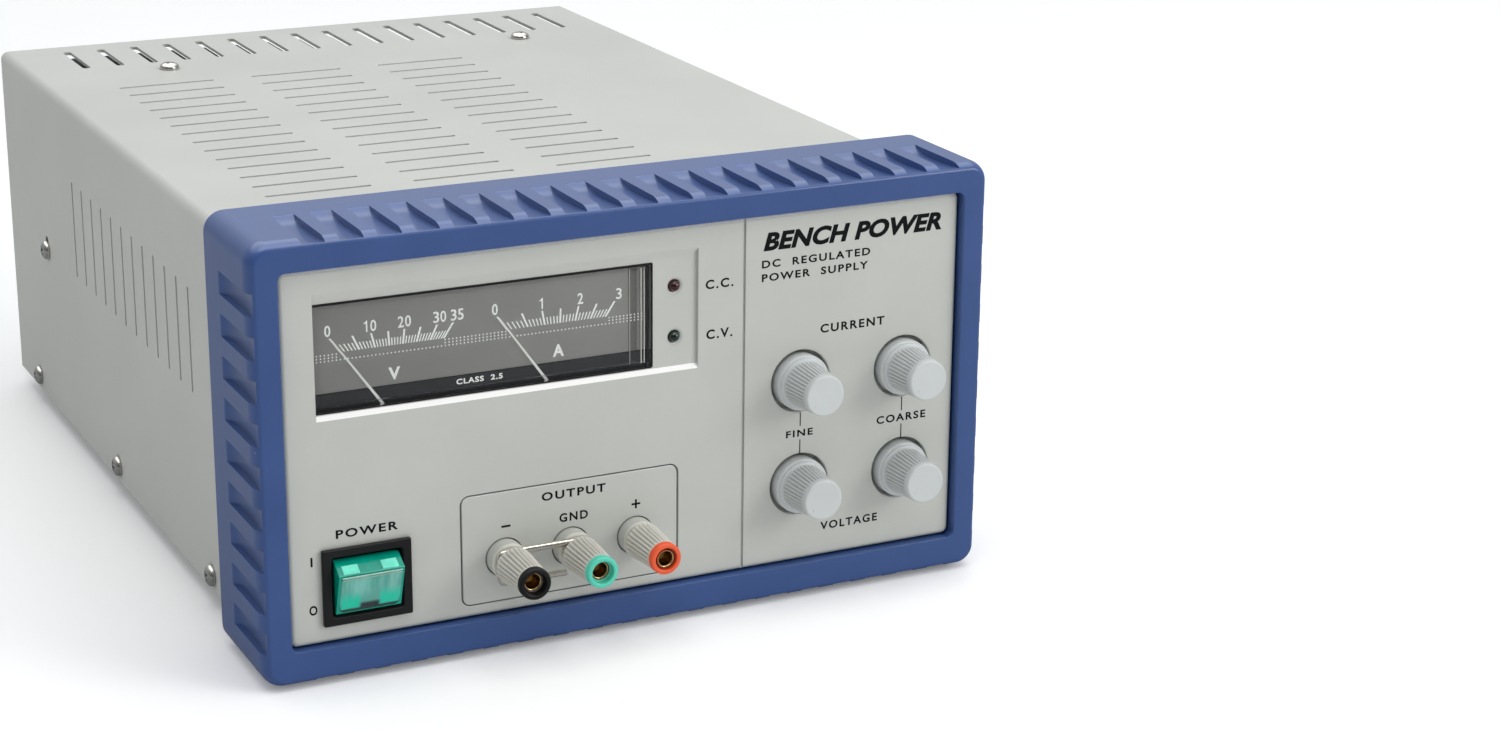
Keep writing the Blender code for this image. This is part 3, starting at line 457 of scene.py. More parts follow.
def powder_coat(name, colour):
    """Baked paint on sheet steel: fine orange peel, slight clouding, dark specks and shaded corners."""
    nodes = Nodes(name)
    cloud = nodes.noise(18.0, 4.0, 0.6)
    tone = nodes.ramp(cloud, (0.35, toned(colour, 0.965)), (0.65, toned(colour, 1.02)))
    speck = nodes.ramp(nodes.noise(2600.0, 2.0), (0.66, 0.0), (0.72, 1.0))
    tone = nodes.mix(nodes.math("MULTIPLY", speck, 0.10), tone, toned(colour, 0.6))
    nodes.set(Base_Color=nodes.corners(tone, 0.35, 1.5), Specular_IOR_Level=0.30)
    nodes.set(Roughness=nodes.ramp(cloud, (0.3, 0.40), (0.7, 0.50)))
    nodes.bump(nodes.noise(1400.0, 2.0), 0.18, 0.03)
    nodes.bump(nodes.noise(160.0, 2.0), 0.10, 0.05)
    return nodes.material


def laminated(name, colour):
    """Stacked steel sheets under varnish."""
    nodes = Nodes(name)
    inputs = {"Scale": 320.0, "Distortion": 0.6, "Vector": nodes.place}
    wave = nodes.add("ShaderNodeTexWave", inputs, wave_type="BANDS", bands_direction="Y").outputs["Fac"]
    rust = nodes.ramp(nodes.noise(90.0, 5.0), (0.5, 0.0), (0.8, 0.6))
    tone = nodes.ramp(wave, (0.2, toned(colour, 0.5)), (0.7, colour))
    tone = nodes.mix(rust, tone, (0.12, 0.06, 0.03, 1.0))
    # Painted shade: the corners are darkened.
    nodes.set(Base_Color=nodes.corners(tone, 0.5, 4.0), Metallic=0.6, Roughness=0.42)
    nodes.bump(wave, 0.5, 0.1)
    return nodes.material


def wound_tape(name, colour):
    """Overlapping turns of yellow tape."""
    nodes = Nodes(name)
    inputs = {"Scale": 22.0, "Distortion": 0.8, "Vector": nodes.place}
    bands = {"wave_type": "BANDS", "bands_direction": "Z", "wave_profile": "SAW"}
    wave = nodes.add("ShaderNodeTexWave", inputs, **bands).outputs["Fac"]
    tone = nodes.ramp(wave, (0.0, toned(colour, 0.6)), (0.3, colour))
    # Painted shade: the corners are darkened.
    nodes.set(Base_Color=nodes.corners(tone, 0.5, 4.0))
    nodes.set(Roughness=nodes.ramp(nodes.noise(300.0), (0.3, 0.22), (0.7, 0.4)))
    nodes.bump(wave, 0.5, 0.2)
    return nodes.material


def circuit_board(name):
    """Green lacquer over copper tracks, with rows of soldered pads."""
    nodes = Nodes(name)
    inputs = {"Scale": 90.0, "Mortar Size": 0.035, "Vector": nodes.place}
    inputs["Color1"] = (0.012, 0.105, 0.04, 1.0)
    inputs["Color2"] = (0.02, 0.15, 0.06, 1.0)
    inputs["Mortar"] = (0.004, 0.06, 0.022, 1.0)
    tracks = nodes.add("ShaderNodeTexBrick", inputs)
    inputs = {"Scale": 240.0, "Randomness": 0.25, "Vector": nodes.place}
    pads = nodes.add("ShaderNodeTexVoronoi", inputs, voronoi_dimensions="3D")
    pad = nodes.math("LESS_THAN", pads.outputs["Distance"], 0.16)
    nodes.set(Base_Color=nodes.mix(pad, tracks.outputs["Color"], (0.55, 0.53, 0.50, 1.0)))
    nodes.set(Metallic=nodes.math("MULTIPLY", pad, 0.9), Roughness=0.3)
    nodes.bump(tracks.outputs["Fac"], 0.3, 0.05)
    return nodes.material


def sleeve(name, colour, stripe):
    """Shrunk plastic sleeve with one pale stripe down a side."""
    nodes = Nodes(name)
    band = nodes.math("LESS_THAN", nodes.axis("Y"), depth(SLEEVE_STRIPE_DEPTH) * MM)
    tone = nodes.mix(nodes.math("MULTIPLY", band, 0.85), colour, stripe)
    # Painted shade: the corners are darkened.
    nodes.set(Base_Color=nodes.corners(tone, 0.6, 3.0))
    nodes.set(Roughness=nodes.ramp(nodes.noise(200.0), (0.3, 0.2), (0.7, 0.34)))
    nodes.bump(nodes.noise(120.0, 3.0), 0.15, 0.3)
    return nodes.material


def clear_plastic(name, tint):
    """A clear film: light passes straight through it, and its surface reflects more at a low angle."""
    nodes = Nodes(name)
    through = nodes.add("ShaderNodeBsdfTransparent", {"Color": tint})
    gloss = nodes.add("ShaderNodeBsdfGlossy", {"Color": (1.0, 1.0, 1.0, 1.0)})
    smudge = nodes.ramp(nodes.noise(30.0, 5.0, 0.7), (0.4, 0.02), (0.75, 0.09))
    nodes.give(gloss.inputs["Roughness"], smudge)
    fresnel = nodes.add("ShaderNodeFresnel", {"IOR": 1.36})
    amount = nodes.math("MAXIMUM", fresnel.outputs["Fac"], 0.02)
    mixed = nodes.add("ShaderNodeMixShader", {0: amount, 1: through.outputs[0], 2: gloss.outputs[0]})
    nodes.give(nodes.output.inputs["Surface"], mixed.outputs[0])
    nodes.tree.nodes.remove(nodes.shader)
    return nodes.material


def lit_rocker(name, middle, ridge_z, foot_z):
    """A glossy translucent moulding. Light guides inside show as bright windows near its ends, with a
    dark well between them."""
    nodes = Nodes(name)
    across = nodes.math("ABSOLUTE", nodes.math("SUBTRACT", nodes.axis("X"), middle * MM))
    share = nodes.math("MULTIPLY", across, 1 / (ROCKER_GLOW_HALF * MM))
    sides = nodes.ramp(share, (0.24, 0.0), (0.34, 1.0), (0.82, 1.0), (0.95, 0.35))
    span = nodes.math("SUBTRACT", ridge_z * MM, nodes.axis("Z"))
    down = nodes.math("DIVIDE", span, (ridge_z - foot_z) * MM)
    streak = nodes.noise(420.0, 3.0, 0.6, (1.0, 0.2, 0.12))
    upper = nodes.ramp(streak, (0.35, linear(84, 164, 150)), (0.65, linear(124, 192, 180)))
    lower = nodes.mix(sides, linear(92, 168, 154), linear(20, 200, 168))
    face = nodes.mix(nodes.ramp(down, (0.40, 0.0), (0.66, 1.0)), upper, lower)
    pit = nodes.ramp(down, (0.72, 0.0), (0.80, 1.0))
    hidden = nodes.math("MULTIPLY", pit, nodes.math("SUBTRACT", 1.0, sides))
    face = nodes.mix(hidden, face, linear(24, 40, 40))
    edge = nodes.ramp(down, (0.86, 0.0), (0.90, 1.0), (0.955, 1.0), (0.985, 0.0))
    face = nodes.mix(edge, face, linear(30, 52, 50))
    rim = nodes.ramp(down, (0.965, 0.0), (0.99, 1.0))
    face = nodes.mix(rim, face, linear(96, 128, 122))
    # Painted shade: the corners are darkened.
    nodes.set(Base_Color=nodes.corners(face, 0.5, 1.2))
    nodes.set(Roughness=nodes.ramp(nodes.noise(90.0), (0.3, 0.06), (0.7, 0.14)))
    nodes.set(Subsurface_Weight=0.25, Subsurface_Scale=1.0 * MM, Coat_Weight=0.8, Coat_Roughness=0.05)
    nodes.bump(nodes.noise(500.0, 2.0), 0.08, 0.05)
    return nodes.material


def gloss_green(name, colour, coat=0.8):
    """A glossy moulding that lets a little light in."""
    nodes = Nodes(name)
    cloud = nodes.noise(300.0, 3.0)
    tone = nodes.ramp(cloud, (0.3, toned(colour, 0.8)), (0.7, colour))
    # Painted shade: the corners are darkened.
    nodes.set(Base_Color=nodes.corners(tone, 0.55, 0.8), Roughness=0.12)
    nodes.set(Subsurface_Weight=0.3, Subsurface_Scale=0.8 * MM, Coat_Weight=coat, Coat_Roughness=0.05)
    nodes.bump(cloud, 0.06, 0.05)
    return nodes.material


def lens(name, dark, light):
    """A small tinted lamp lens, deeper in colour towards its middle; the lighter colour towards its outline
    as seen from the camera is a painted sheen.
    """
    nodes = Nodes(name)
    # Painted sheen: lighter where the surface turns away from the camera.
    facing = nodes.add("ShaderNodeLayerWeight", {"Blend": 0.35})
    tone = nodes.mix(facing.outputs["Facing"], dark, light)
    cloud = nodes.ramp(nodes.noise(900.0), (0.4, 0.0), (0.8, 0.4))
    nodes.set(Base_Color=nodes.mix(cloud, tone, dark), Roughness=0.08, Coat_Weight=0.6)
    nodes.bump(nodes.noise(400.0), 0.08, 0.05)
    return nodes.material


def ink(name, colour, roughness=0.45, glow=0.0):
    """Screen-printed ink, slightly uneven. A glow makes it give off light of its own, a painted light."""
    nodes = Nodes(name)
    cloud = nodes.noise(1500.0, 3.0)
    nodes.set(Base_Color=nodes.ramp(cloud, (0.3, toned(colour, 0.85)), (0.7, colour)))
    nodes.set(Roughness=nodes.ramp(cloud, (0.3, roughness - 0.08), (0.7, roughness + 0.08)))
    nodes.bump(cloud, 0.1, 0.01)
    nodes.set(Specular_IOR_Level=0.15, Emission_Color=colour, Emission_Strength=glow)
    return nodes.material


def black_moulding(name, roughness=0.35, level=0.018, shine=0.5):
    colour = (level, level, level * 1.05, 1.0)
    return moulded(name, colour, roughness, 0.15, 0.2, 0.3, 0.8, 1.0, shine=shine)


paint = powder_coat("case_paint_look", linear(196, 197, 192))
zinc = metal("zinc_steel_look", (0.60, 0.60, 0.58, 1.0), 0.38, (1.0, 12.0, 1.0))
anodised = moulded("black_anodised_look", (0.030, 0.030, 0.033, 1.0), 0.42, 0.2, 0.2, 0.2, 0.8, 3.0)
blue = moulded("blue_plastic_look", linear(44, 76, 134), 0.40, 0.05, 0.25, 0.30, 0.72, 1.4, 0.5, 0.0, 0.45)
# Its last value, 0.9, paints light onto the panel's faces that turn upward.
ivory = moulded("panel_plastic_look", linear(190, 192, 186), 0.42, 0.02, 0.16, 0.30, 0.86, 0.8, 0.0, 0.9)
black = black_moulding("black_plastic_look", 0.42, 0.009, 0.3)
scale_grey = moulded("scale_grey_look", linear(174, 170, 165), 0.42, 0.03, 0.12, 0.2, 1.0)
# A black finish for the step that paints the band of shade at the scale's foot.
shade_sill_black = black_moulding("meter_shade_sill_look", 0.12, 0.02)
# The pointers' white glows a little: painted light.
pointer_white = ink("pointer_white_look", linear(250, 250, 246), 0.35, 0.25)
knob_white = moulded("knob_white_look", linear(197, 201, 201), 0.38, 0.03, 0.14, 0.25, 0.72, 0.8)
cap_grey = moulded("cap_grey_look", linear(212, 209, 200), 0.45, 0.04, 0.15, 0.25, 0.35, 0.7)
cream = moulded("collar_cream_look", linear(208, 207, 196), 0.38, 0.04, 0.15, 0.25, 0.6, 0.8)
collar_grey = moulded("collar_sleeve_look", linear(190, 191, 185), 0.42, 0.03, 0.15, 0.25, 0.8, 0.8)
cap_black = black_moulding("cap_black_look", 0.4, 0.008, 0.25)
cap_green = moulded("cap_green_look", linear(88, 208, 182), 0.38, 0.05, 0.15, 0.25, 0.6, 0.8)
cap_red = moulded("cap_red_look", linear(232, 88, 46), 0.38, 0.05, 0.15, 0.25, 0.6, 0.8)
brass = metal("brass_look", (0.78, 0.56, 0.28, 1.0), 0.22, (1.0, 14.0, 1.0), 0.12, (0.35, 0.22, 0.10, 1.0))
nickel = metal("nickel_look", (0.62, 0.60, 0.56, 1.0), 0.2, (3.0, 3.0, 3.0), 0.06, (0.45, 0.42, 0.38, 1.0))
board_green = circuit_board("circuit_board_look")
core_steel = laminated("core_steel_look", (0.25, 0.25, 0.27, 1.0))
tape = wound_tape("winding_tape_look", (0.62, 0.40, 0.06, 1.0))
sleeve_blue = sleeve("capacitor_sleeve_look", (0.02, 0.035, 0.10, 1.0), (0.5, 0.55, 0.6, 1.0))
rubber = moulded("rubber_look", (0.022, 0.022, 0.022, 1.0), 0.75, 0.2, 0.4, 0.3, 0.7, 2.0)
red_plastic = moulded("red_plastic_look", (0.50, 0.03, 0.02, 1.0), 0.32, 0.08, 0.15, 0.25, 0.6, 0.8)
window_clear = clear_plastic("clear_plastic_look", (0.97, 0.98, 0.98, 1.0))
rocker_teal = gloss_green("rocker_green_look", linear(4, 164, 140), 0.35)
# Pale gloss for the beads along the rocker's ridge: a painted highlight.
rocker_ridge_highlight = gloss_green("rocker_ridge_highlight_look", linear(176, 214, 200))
mint_inner = gloss_green("rocker_window_look", linear(120, 250, 222), 0.4)
led_red = lens("led_red_look", (0.022, 0.002, 0.002, 1.0), (0.12, 0.008, 0.008, 1.0))
led_green = lens("led_green_look", (0.003, 0.012, 0.008, 1.0), (0.01, 0.06, 0.035, 1.0))
print_dark = ink("panel_print_look", linear(14, 15, 19))
# Grey ink laid in the outline groove round the output posts: painted shade in the groove.
groove_shade_grey = ink("outline_groove_shade_look", linear(84, 86, 88))
# The scale's white print glows: painted light.
print_light = ink("scale_print_look", linear(252, 252, 248), glow=0.35)
bright_nickel = metal("bright_nickel_look", (0.80, 0.75, 0.66, 1.0), 0.16, (3.0, 3.0, 3.0), 0.04, None, 0.015)
# Pale glowing tubes in the window near its right end: painted highlights.
glint_white = ink("window_glint_look", linear(236, 234, 228), 0.15, 0.15)
# Grey ink for a band near the scale's right end: a painted shadow.
scale_shade = ink("scale_shade_look", linear(138, 135, 131))


# ---- Case ----

COVER_BEND = 2.6
COVER_SHEET = 1.0
SLOT_PITCH = 11.3
SLOT_HALF = 0.72
TOP_SLOT_ROWS = 14
TOP_SLOT_FIRST = 68.2
TOP_SLOT_SPANS = ((-79.7, -49.5), (-37.4, -7.5), (5.2, 34.5))
SIDE_SLOT_COUNT = 12
SIDE_SLOT_FIRST = 73.3
SIDE_SLOT_SPAN = (59.6, 89.7)
REAR_SLOT_COUNT = 16
REAR_SLOT_PITCH = 11.06
REAR_SLOT_FIRST = -81.2
REAR_SLOT_SPAN = (248.4, 275.6)
REAR_SLOT_HALF = 1.3
SCREW_HOLE = 1.8
SCREW_HEAD = 3.1


def hole(start, end, radius):
    return [(start, 0), (start, radius), (end, radius), (end, 0)]


def make_cover():
    low, high = box_mm("top_cover")

    def arch(half, top, bend):
        path = [(-half, low.z)]
        for centre, start in (((-half + bend, top - bend), 180), ((half - bend, top - bend), 90)):
            for step in range(13):
                angle = math.radians(start - 90 * step / 12)
                path.append((centre[0] + bend * math.cos(angle), centre[1] + bend * math.sin(angle)))
        path.append((half, low.z))
        return path

    outside = arch(high.x, high.z, COVER_BEND)
    inside = arch(high.x - COVER_SHEET, high.z - COVER_SHEET, COVER_BEND - COVER_SHEET)
    mesh = bmesh.new()
    add_prism(mesh, "y", outside + inside[::-1], low.y, high.y)
    cover = make_object("cover_shell", mesh, paint)

    cuts = bmesh.new()
    bottom, top = high.z - 2, high.z + 1
    for middle in spaced(TOP_SLOT_ROWS, depth(TOP_SLOT_FIRST), SLOT_PITCH):
        for left, right in TOP_SLOT_SPANS:
            add_prism(cuts, "z", capsule(left, right, middle - SLOT_HALF, middle + SLOT_HALF), bottom, top)
    for middle in spaced(SIDE_SLOT_COUNT, depth(SIDE_SLOT_FIRST), SLOT_PITCH):
        outline = capsule(middle - SLOT_HALF, middle + SLOT_HALF, *SIDE_SLOT_SPAN)
        add_prism(cuts, "x", outline, low.x - 1, low.x + 2)
        add_prism(cuts, "x", outline, high.x - 2, high.x + 1)
    front, back = (depth(value) for value in REAR_SLOT_SPAN)
    for centre in spaced(REAR_SLOT_COUNT, REAR_SLOT_FIRST, REAR_SLOT_PITCH):
        outline = capsule(centre - REAR_SLOT_HALF, centre + REAR_SLOT_HALF, front, back, 8)
        add_prism(cuts, "z", outline, bottom, top)
    for number in (1, 2):
        middle = centre_mm(f"top_screw_{number}")
        add_lathe(cuts, "z", (middle.x, middle.y), hole(bottom, top, SCREW_HOLE), 24)
    for number in (1, 2, 3):
        middle = centre_mm(f"side_screw_{number}")
        add_lathe(cuts, "x", (middle.y, middle.z), hole(low.x - 1, low.x + 2, SCREW_HOLE), 24)
    middle = centre_mm("side_screw_4")
    tall = capsule(middle.y - SCREW_HOLE, middle.y + SCREW_HOLE, middle.z - SCREW_HOLE, middle.z + 4.6, 8)
    add_prism(cuts, "x", tall, low.x - 1, low.x + 2)
    cut(cover, cuts)
    soften(cover, 0.22, 2)
    place(cover, CHASSIS, ("top_cover",))


def make_case_parts():
    refine("chassis_tray", zinc, 0.25)
    refine("rear_panel", paint, 0.2)
    refine("heatsink", anodised, 0.3)
    for number in range(1, 5):
        low, high = box_mm(f"foot_{number}")
        centre = (low + high) / 2
        profile = [(high.z, 0), (high.z, 7.4), (0.9, 6.85), (0.35, 6.6), (0.0, 6.0), (0.0, 3.4)]
        profile += [(0.8, 3.0), (0.8, 0)]
        name, nodes = f"foot_pad_{number}", (f"foot_{number}",)
        turned(name, rubber, "z", (centre.x, centre.y), profile, CHASSIS, nodes, 48)


def add_recess(mesh, axis, centre, start, end, turn, reach=1.75, width=0.36):
    """One slot of a cross recess, shorter at its bottom."""
    angle = math.radians(turn)
    along = (math.cos(angle), math.sin(angle))
    across = (-along[1], along[0])
    rings = []
    for place_along, share in ((start, 1.0), (end, 0.45)):
        ring = []
        for a, b in ((-reach, -width), (reach, -width), (reach, width), (-reach, width)):
            u = centre[0] + share * a * along[0] + b * across[0]
            v = centre[1] + share * a * along[1] + b * across[1]
            ring.append(to_world(axis, u, v, place_along))
        rings.append(ring)
    add_rings(mesh, rings)


def make_screw(node, axis, direction, turn):
    low, high = box_mm(node)
    centre = (low + high) / 2
    if axis == "x":
        across, tip, root = (centre.y, centre.z), low.x, high.x
    else:
        across, tip, root = (centre.x, centre.y), high.z, low.z
    sign = -direction
    profile = [(tip, 0)]
    profile += [(tip + sign * back, SCREW_HEAD - inset) for inset, back in rounding(2.2, 1.5, 8)]
    profile += [(tip + sign * 1.9, SCREW_HEAD), (tip + sign * 1.9, 1.5), (root, 1.5), (root, 0)]
    mesh = bmesh.new()
    add_lathe(mesh, axis, across, profile, 48)
    screw = make_object(node + "_head", mesh, nickel, 40)
    recesses = []
    for quarter in (0, 90):
        recesses.append(bmesh.new())
        add_recess(recesses[-1], axis, across, tip - sign * 0.2, tip + sign * 1.35, turn + quarter)
    cut(screw, *recesses)
    soften(screw, 0.05, 1, 50, 40)
    place(screw, CHASSIS, (node,))


def make_screws():
    for number in range(1, 5):
        make_screw(f"side_screw_{number}", "x", -1, 25.0 + 31 * number)
    for number in (1, 2):
        make_screw(f"top_screw_{number}", "z", 1, 15.0 + 40 * number)


# ---- Bezel and front panel ----

BEZEL_CORNER = 5.5
EDGE_INSET = 2.2
EDGE_DEPTH = 4.6
GAP = 0.3
OPENING = (-98.2, 98.2, 10.5, 111.8)
LIP_DEPTH = 5.5
NOTCH_RUN = 6.2
NOTCH_FLOOR = ((25.2, 0.0), (22.6, 1.2), (19.0, 1.85), (13.5, 2.0), (7.5, 1.8), (1.2, 1.3), (-0.5, 1.1))
TOP_NOTCHES = (19, -85.6, 10.12)
SIDE_NOTCHES = (9, 10.8, 11.31)


def bezel_ring(low, high, inset, back):
    corner = max(BEZEL_CORNER - inset * 0.8, 0.6)
    return inset_ring(front_span(low, high), inset, corner, depth(back), 10)


def add_notch(mesh, corner, run, out):
    """A thumb-grip pocket: straight walls, and a hollow floor that runs out at both ends."""
    lift = 1.0
    floor = smooth_path([(back, below, 0) for back, below in NOTCH_FLOOR], 5)
    profile = [(point.x, -point.y) for point in floor]
    profile += [(NOTCH_FLOOR[-1][0], lift), (NOTCH_FLOOR[0][0] + lift, lift)]
    rings = []
    for along in (0.0, NOTCH_RUN):
        ring = []
        for behind, away in profile:
            x = corner[0] + run[0] * along + out[0] * away
            z = corner[1] + run[1] * along + out[1] * away
            ring.append((x, depth(behind), z))
        rings.append(ring)
    add_rings(mesh, rings)


def make_bezel():
    low, high = box_mm("front_bezel")
    far = high.y - FRONT
    rings = [bezel_ring(low, high, inset, back) for inset, back in rounding(EDGE_INSET, EDGE_DEPTH, 12)]
    for inset, back in ((0.0, far - 0.9), (0.1, far - 0.5), (0.35, far - 0.15), (0.8, far)):
        rings.append(bezel_ring(low, high, inset, back))
    low_cover, high_cover = box_mm("top_cover")
    half = high_cover.x + GAP
    cavity = rounded_rectangle(-half, half, low_cover.z - GAP, high_cover.z + GAP, 0.4, 10)
    rings.append(ring_at(cavity, depth(far)))
    rings.append(ring_at(cavity, depth(LIP_DEPTH)))
    for inset, back in ((0.0, LIP_DEPTH), (0.0, 0.5), (-0.15, 0.15), (-0.5, 0.0)):
        rings.append(inset_ring(OPENING, inset, 2.0 - inset, depth(back), 10))
    mesh = ringed(rings, True)
    bezel = make_object("bezel_shell", mesh, blue)
    pockets = bmesh.new()
    for wall in spaced(*TOP_NOTCHES):
        add_notch(pockets, (wall, high.z), (-1, 0), (0, 1))
        add_notch(pockets, (wall, low.z), (-1, 0), (0, -1))
    for wall in spaced(*SIDE_NOTCHES):
        add_notch(pockets, (low.x, wall), (0, 1), (-1, 0))
        add_notch(pockets, (high.x, wall), (0, 1), (1, 0))
    cut(bezel, pockets)
    soften(bezel, 0.22, 3, 38, 38)
    place(bezel, CHASSIS, ("front_bezel",))


PANEL_FACE = 2.4
PANEL_SKIN = 2.5
RECESS = (-89.0, 18.1, 72.55, 103.3)
RECESS_RAMP = 1.6
SILL_RAMP = 1.2
RECESS_FLOOR = 3.4
WINDOW = (-88.95, 5.2, 72.7, 102.0)
WELL_RADIUS = 8.95
WELL_FLOOR = 6.8
GROOVE_X = (31.4, 32.2)
OUTPUT_OUTLINE = (-50.6, 12.1, 14.1, 44.9)
KNOBS = ("current_fine", "current_coarse", "voltage_fine", "voltage_coarse")
POSTS = ("negative", "ground", "positive")


def panel_blank(low, high):
    """The moulding before its openings: a face with a rounded edge, and a flange behind the bezel's lip."""
    right, sill, head = OPENING[1:]
    face = (-right + GAP, right - GAP, sill + GAP, head - GAP)
    rings = []
    for inset, back in rounding(1.4, 1.4, 7):
        rings.append(inset_ring(face, inset, 1.9 - inset, depth(PANEL_FACE + back), 8))
    rings.append(inset_ring(face, 0.0, 1.9, depth(LIP_DEPTH + GAP), 8))
    for y in (depth(LIP_DEPTH + GAP), high.y):
        rings.append(inset_ring(front_span(low, high), 0.0, 1.9, y, 8))
    mesh = ringed(rings)
    return make_object("panel_moulding", mesh, ivory)


def recess_cutter(front):
    """The meter's recess, with a sloping wall above it and a steeper one below."""
    left, right, bottom, top = RECESS
    over = PANEL_FACE + 1
    outline = [(front, bottom - SILL_RAMP * (1 + over)), (front, top + RECESS_RAMP * (1 + over))]
    outline += [(depth(PANEL_FACE), top + RECESS_RAMP), (depth(RECESS_FLOOR), top)]
    outline += [(depth(RECESS_FLOOR), bottom), (depth(PANEL_FACE), bottom - SILL_RAMP)]
    mesh = bmesh.new()
    add_prism(mesh, "x", outline, left, right)
    return mesh


def opening_cutters(front, back):
    """The window, the lamp, post and switch holes and the knob wells; then the shaft holes."""
    holes, shafts = bmesh.new(), bmesh.new()
    add_prism(holes, "y", inset_outline(WINDOW, 0.0, 0.5, 3), front, back)
    for label in ("cc", "cv"):
        middle = centre_mm(f"led_{label}")
        floor = depth(RECESS_FLOOR)
        profile = [(front, 0), (front, 2.6), (floor, 2.6), (floor + 0.55, 1.8), (back, 1.8), (back, 0)]
        add_lathe(holes, "y", (middle.x, middle.z), profile, 32)
    face, floor, wide = depth(PANEL_FACE), depth(WELL_FLOOR - 0.3), WELL_RADIUS + 0.45
    profile = [(front, 0), (front, wide), (face, wide), (face + 0.18, WELL_RADIUS + 0.12)]
    profile += [(face + 0.5, WELL_RADIUS), (floor, WELL_RADIUS), (floor, 0)]
    for label in KNOBS:
        middle = centre_mm(f"knob_{label}")
        add_lathe(holes, "y", (middle.x, middle.z), profile, 72)
        add_lathe(shafts, "y", (middle.x, middle.z), hole(front, back, 3.9), 24)
    for label in POSTS:
        middle = centre_mm(f"collar_{label}")
        add_lathe(holes, "y", (middle.x, middle.z), hole(front, back, 5.45), 48)
    low, high = box_mm("switch_housing")
    outline = rounded_rectangle(low.x + 1.2, high.x - 1.2, low.z + 0.9, high.z - 0.9, 0.6)
    add_prism(holes, "y", outline, front, back)
    return holes, shafts


def groove_cutter(front):
    """The upright groove and the outline round the output posts."""
    mesh = bmesh.new()
    sill, head = OPENING[2:]
    add_box(mesh, (GROOVE_X[0], front, sill - 1), (GROOVE_X[1], depth(PANEL_FACE + 0.6), head + 1))
    face, foot = depth(PANEL_FACE), depth(PANEL_FACE + 0.4)
    rings = []
    for inset, y in ((-0.32, front), (-0.32, face), (-0.18, foot), (0.18, foot), (0.32, face), (0.32, front)):
        rings.append(inset_ring(OUTPUT_OUTLINE, inset, 2.4 - inset, y, 8))
    add_rings(mesh, rings, True)
    return mesh


def meter_room_cutter(back):
    """The room behind the face for the meter."""
    low, high = box_mm("meter_housing")
    mesh = bmesh.new()
    corner = (low.x - GAP, depth(PANEL_FACE + PANEL_SKIN), low.z - GAP)
    add_box(mesh, corner, (high.x + GAP, back, high.z + GAP))
    return mesh


def make_front_panel():
    low, high = box_mm("front_panel")
    front, back = depth(-1), high.y + 1
    panel = panel_blank(low, high)
    holes, shafts = opening_cutters(front, back)
    cut(panel, recess_cutter(front), holes, shafts, groove_cutter(front), meter_room_cutter(back))
    soften(panel, 0.14, 2, 40, 38)
    place(panel, CHASSIS, ("front_panel",))


# ---- Printed text and lines ----

PRINT_THICKNESS = 0.03


def add_text(target, text, left, right, bottom, top, y, slant=0.0, bold=0.0, spacing=1.0):
    """Adds a printed word to a mesh, fitted to a box on a plane that faces the front."""
    curve = bpy.data.curves.new("text_helper", "FONT")
    curve.body = text
    curve.extrude = PRINT_THICKNESS / 2
    curve.offset = bold
    curve.space_character = spacing
    curve.shear = slant
    curve.resolution_u = 4
    helper = bpy.data.objects.new("text_helper", curve)
    bpy.context.scene.collection.objects.link(helper)
    bpy.context.view_layer.update()
    graph = bpy.context.evaluated_depsgraph_get()
    data = bpy.data.meshes.new_from_object(helper.evaluated_get(graph))
    bpy.data.objects.remove(helper)
    bpy.data.curves.remove(curve)
    places = [vertex.co.copy() for vertex in data.vertices]
    x0, x1 = min(p.x for p in places), max(p.x for p in places)
    y0, y1 = min(p.y for p in places), max(p.y for p in places)
    for vertex in data.vertices:
        across = (vertex.co.x - x0) / max(x1 - x0, 1e-6)
        up = (vertex.co.y - y0) / max(y1 - y0, 1e-6)
        vertex.co = (left + across * (right - left), y - vertex.co.z, bottom + up * (top - bottom))
    part = bmesh.new()
    part.from_mesh(data)
    bmesh.ops.remove_doubles(part, verts=part.verts, dist=1e-4)
    bmesh.ops.recalc_face_normals(part, faces=part.faces)
    part.to_mesh(data)
    part.free()
    target.from_mesh(data)
    bpy.data.meshes.remove(data)


def add_patch(mesh, outline, y):
    """A printed shape on a plane that faces the front."""
    add_prism(mesh, "y", outline, y - PRINT_THICKNESS / 2, y + PRINT_THICKNESS / 2)


def add_bar(mesh, x0, x1, z0, z1, y):
    half = PRINT_THICKNESS / 2
    add_box(mesh, (x0, y - half, z0), (x1, y + half, z1))


WORDS = (
    ("POWER", -84.9, -68.0, 39.1, 41.5), ("OUTPUT", -27.7, -9.2, 40.3, 42.7),
    ("GND", -22.7, -14.4, 33.5, 36.0), ("CURRENT", 55.2, 75.2, 76.2, 78.7),
    ("VOLTAGE", 56.3, 74.4, 18.4, 20.8), ("FINE", 45.05, 53.4, 47.2, 49.2),
    ("COARSE", 73.5, 89.2, 47.1, 49.4), ("DC  REGULATED", 37.0, 70.2, 96.7, 98.9),
    ("POWER  SUPPLY", 37.0, 69.6, 92.9, 95.1), ("O", -92.7, -90.5, 19.1, 21.8),
)
LAMP_WORDS = (("C.C.", 20.2, 28.5, 92.9, 95.5), ("C.V.", 20.5, 28.3, 78.9, 81.6))
SWITCH_ON_BAR = (-91.9, -91.35, 32.5, 35.1)
MINUS_BAR = (-38.0 - 1.3, -38.0 + 1.3, 35.0 - 0.3, 35.0 + 0.3)
PLUS_BAR = (-0.3 - 1.3, -0.3 + 1.3, 35.3 - 0.28, 35.3 + 0.28)
PLUS_STEMS = ((34.0, 35.02), (35.58, 36.6))
KNOB_LINE_X = (49.4, 81.4)
KNOB_LINES = ((42.3, 46.3), (50.2, 54.2))


def add_words(mesh, words, y):
    for text, left, right, bottom, top in words:
        add_text(mesh, text, left, right, bottom, top, y, bold=0.028, spacing=1.25)


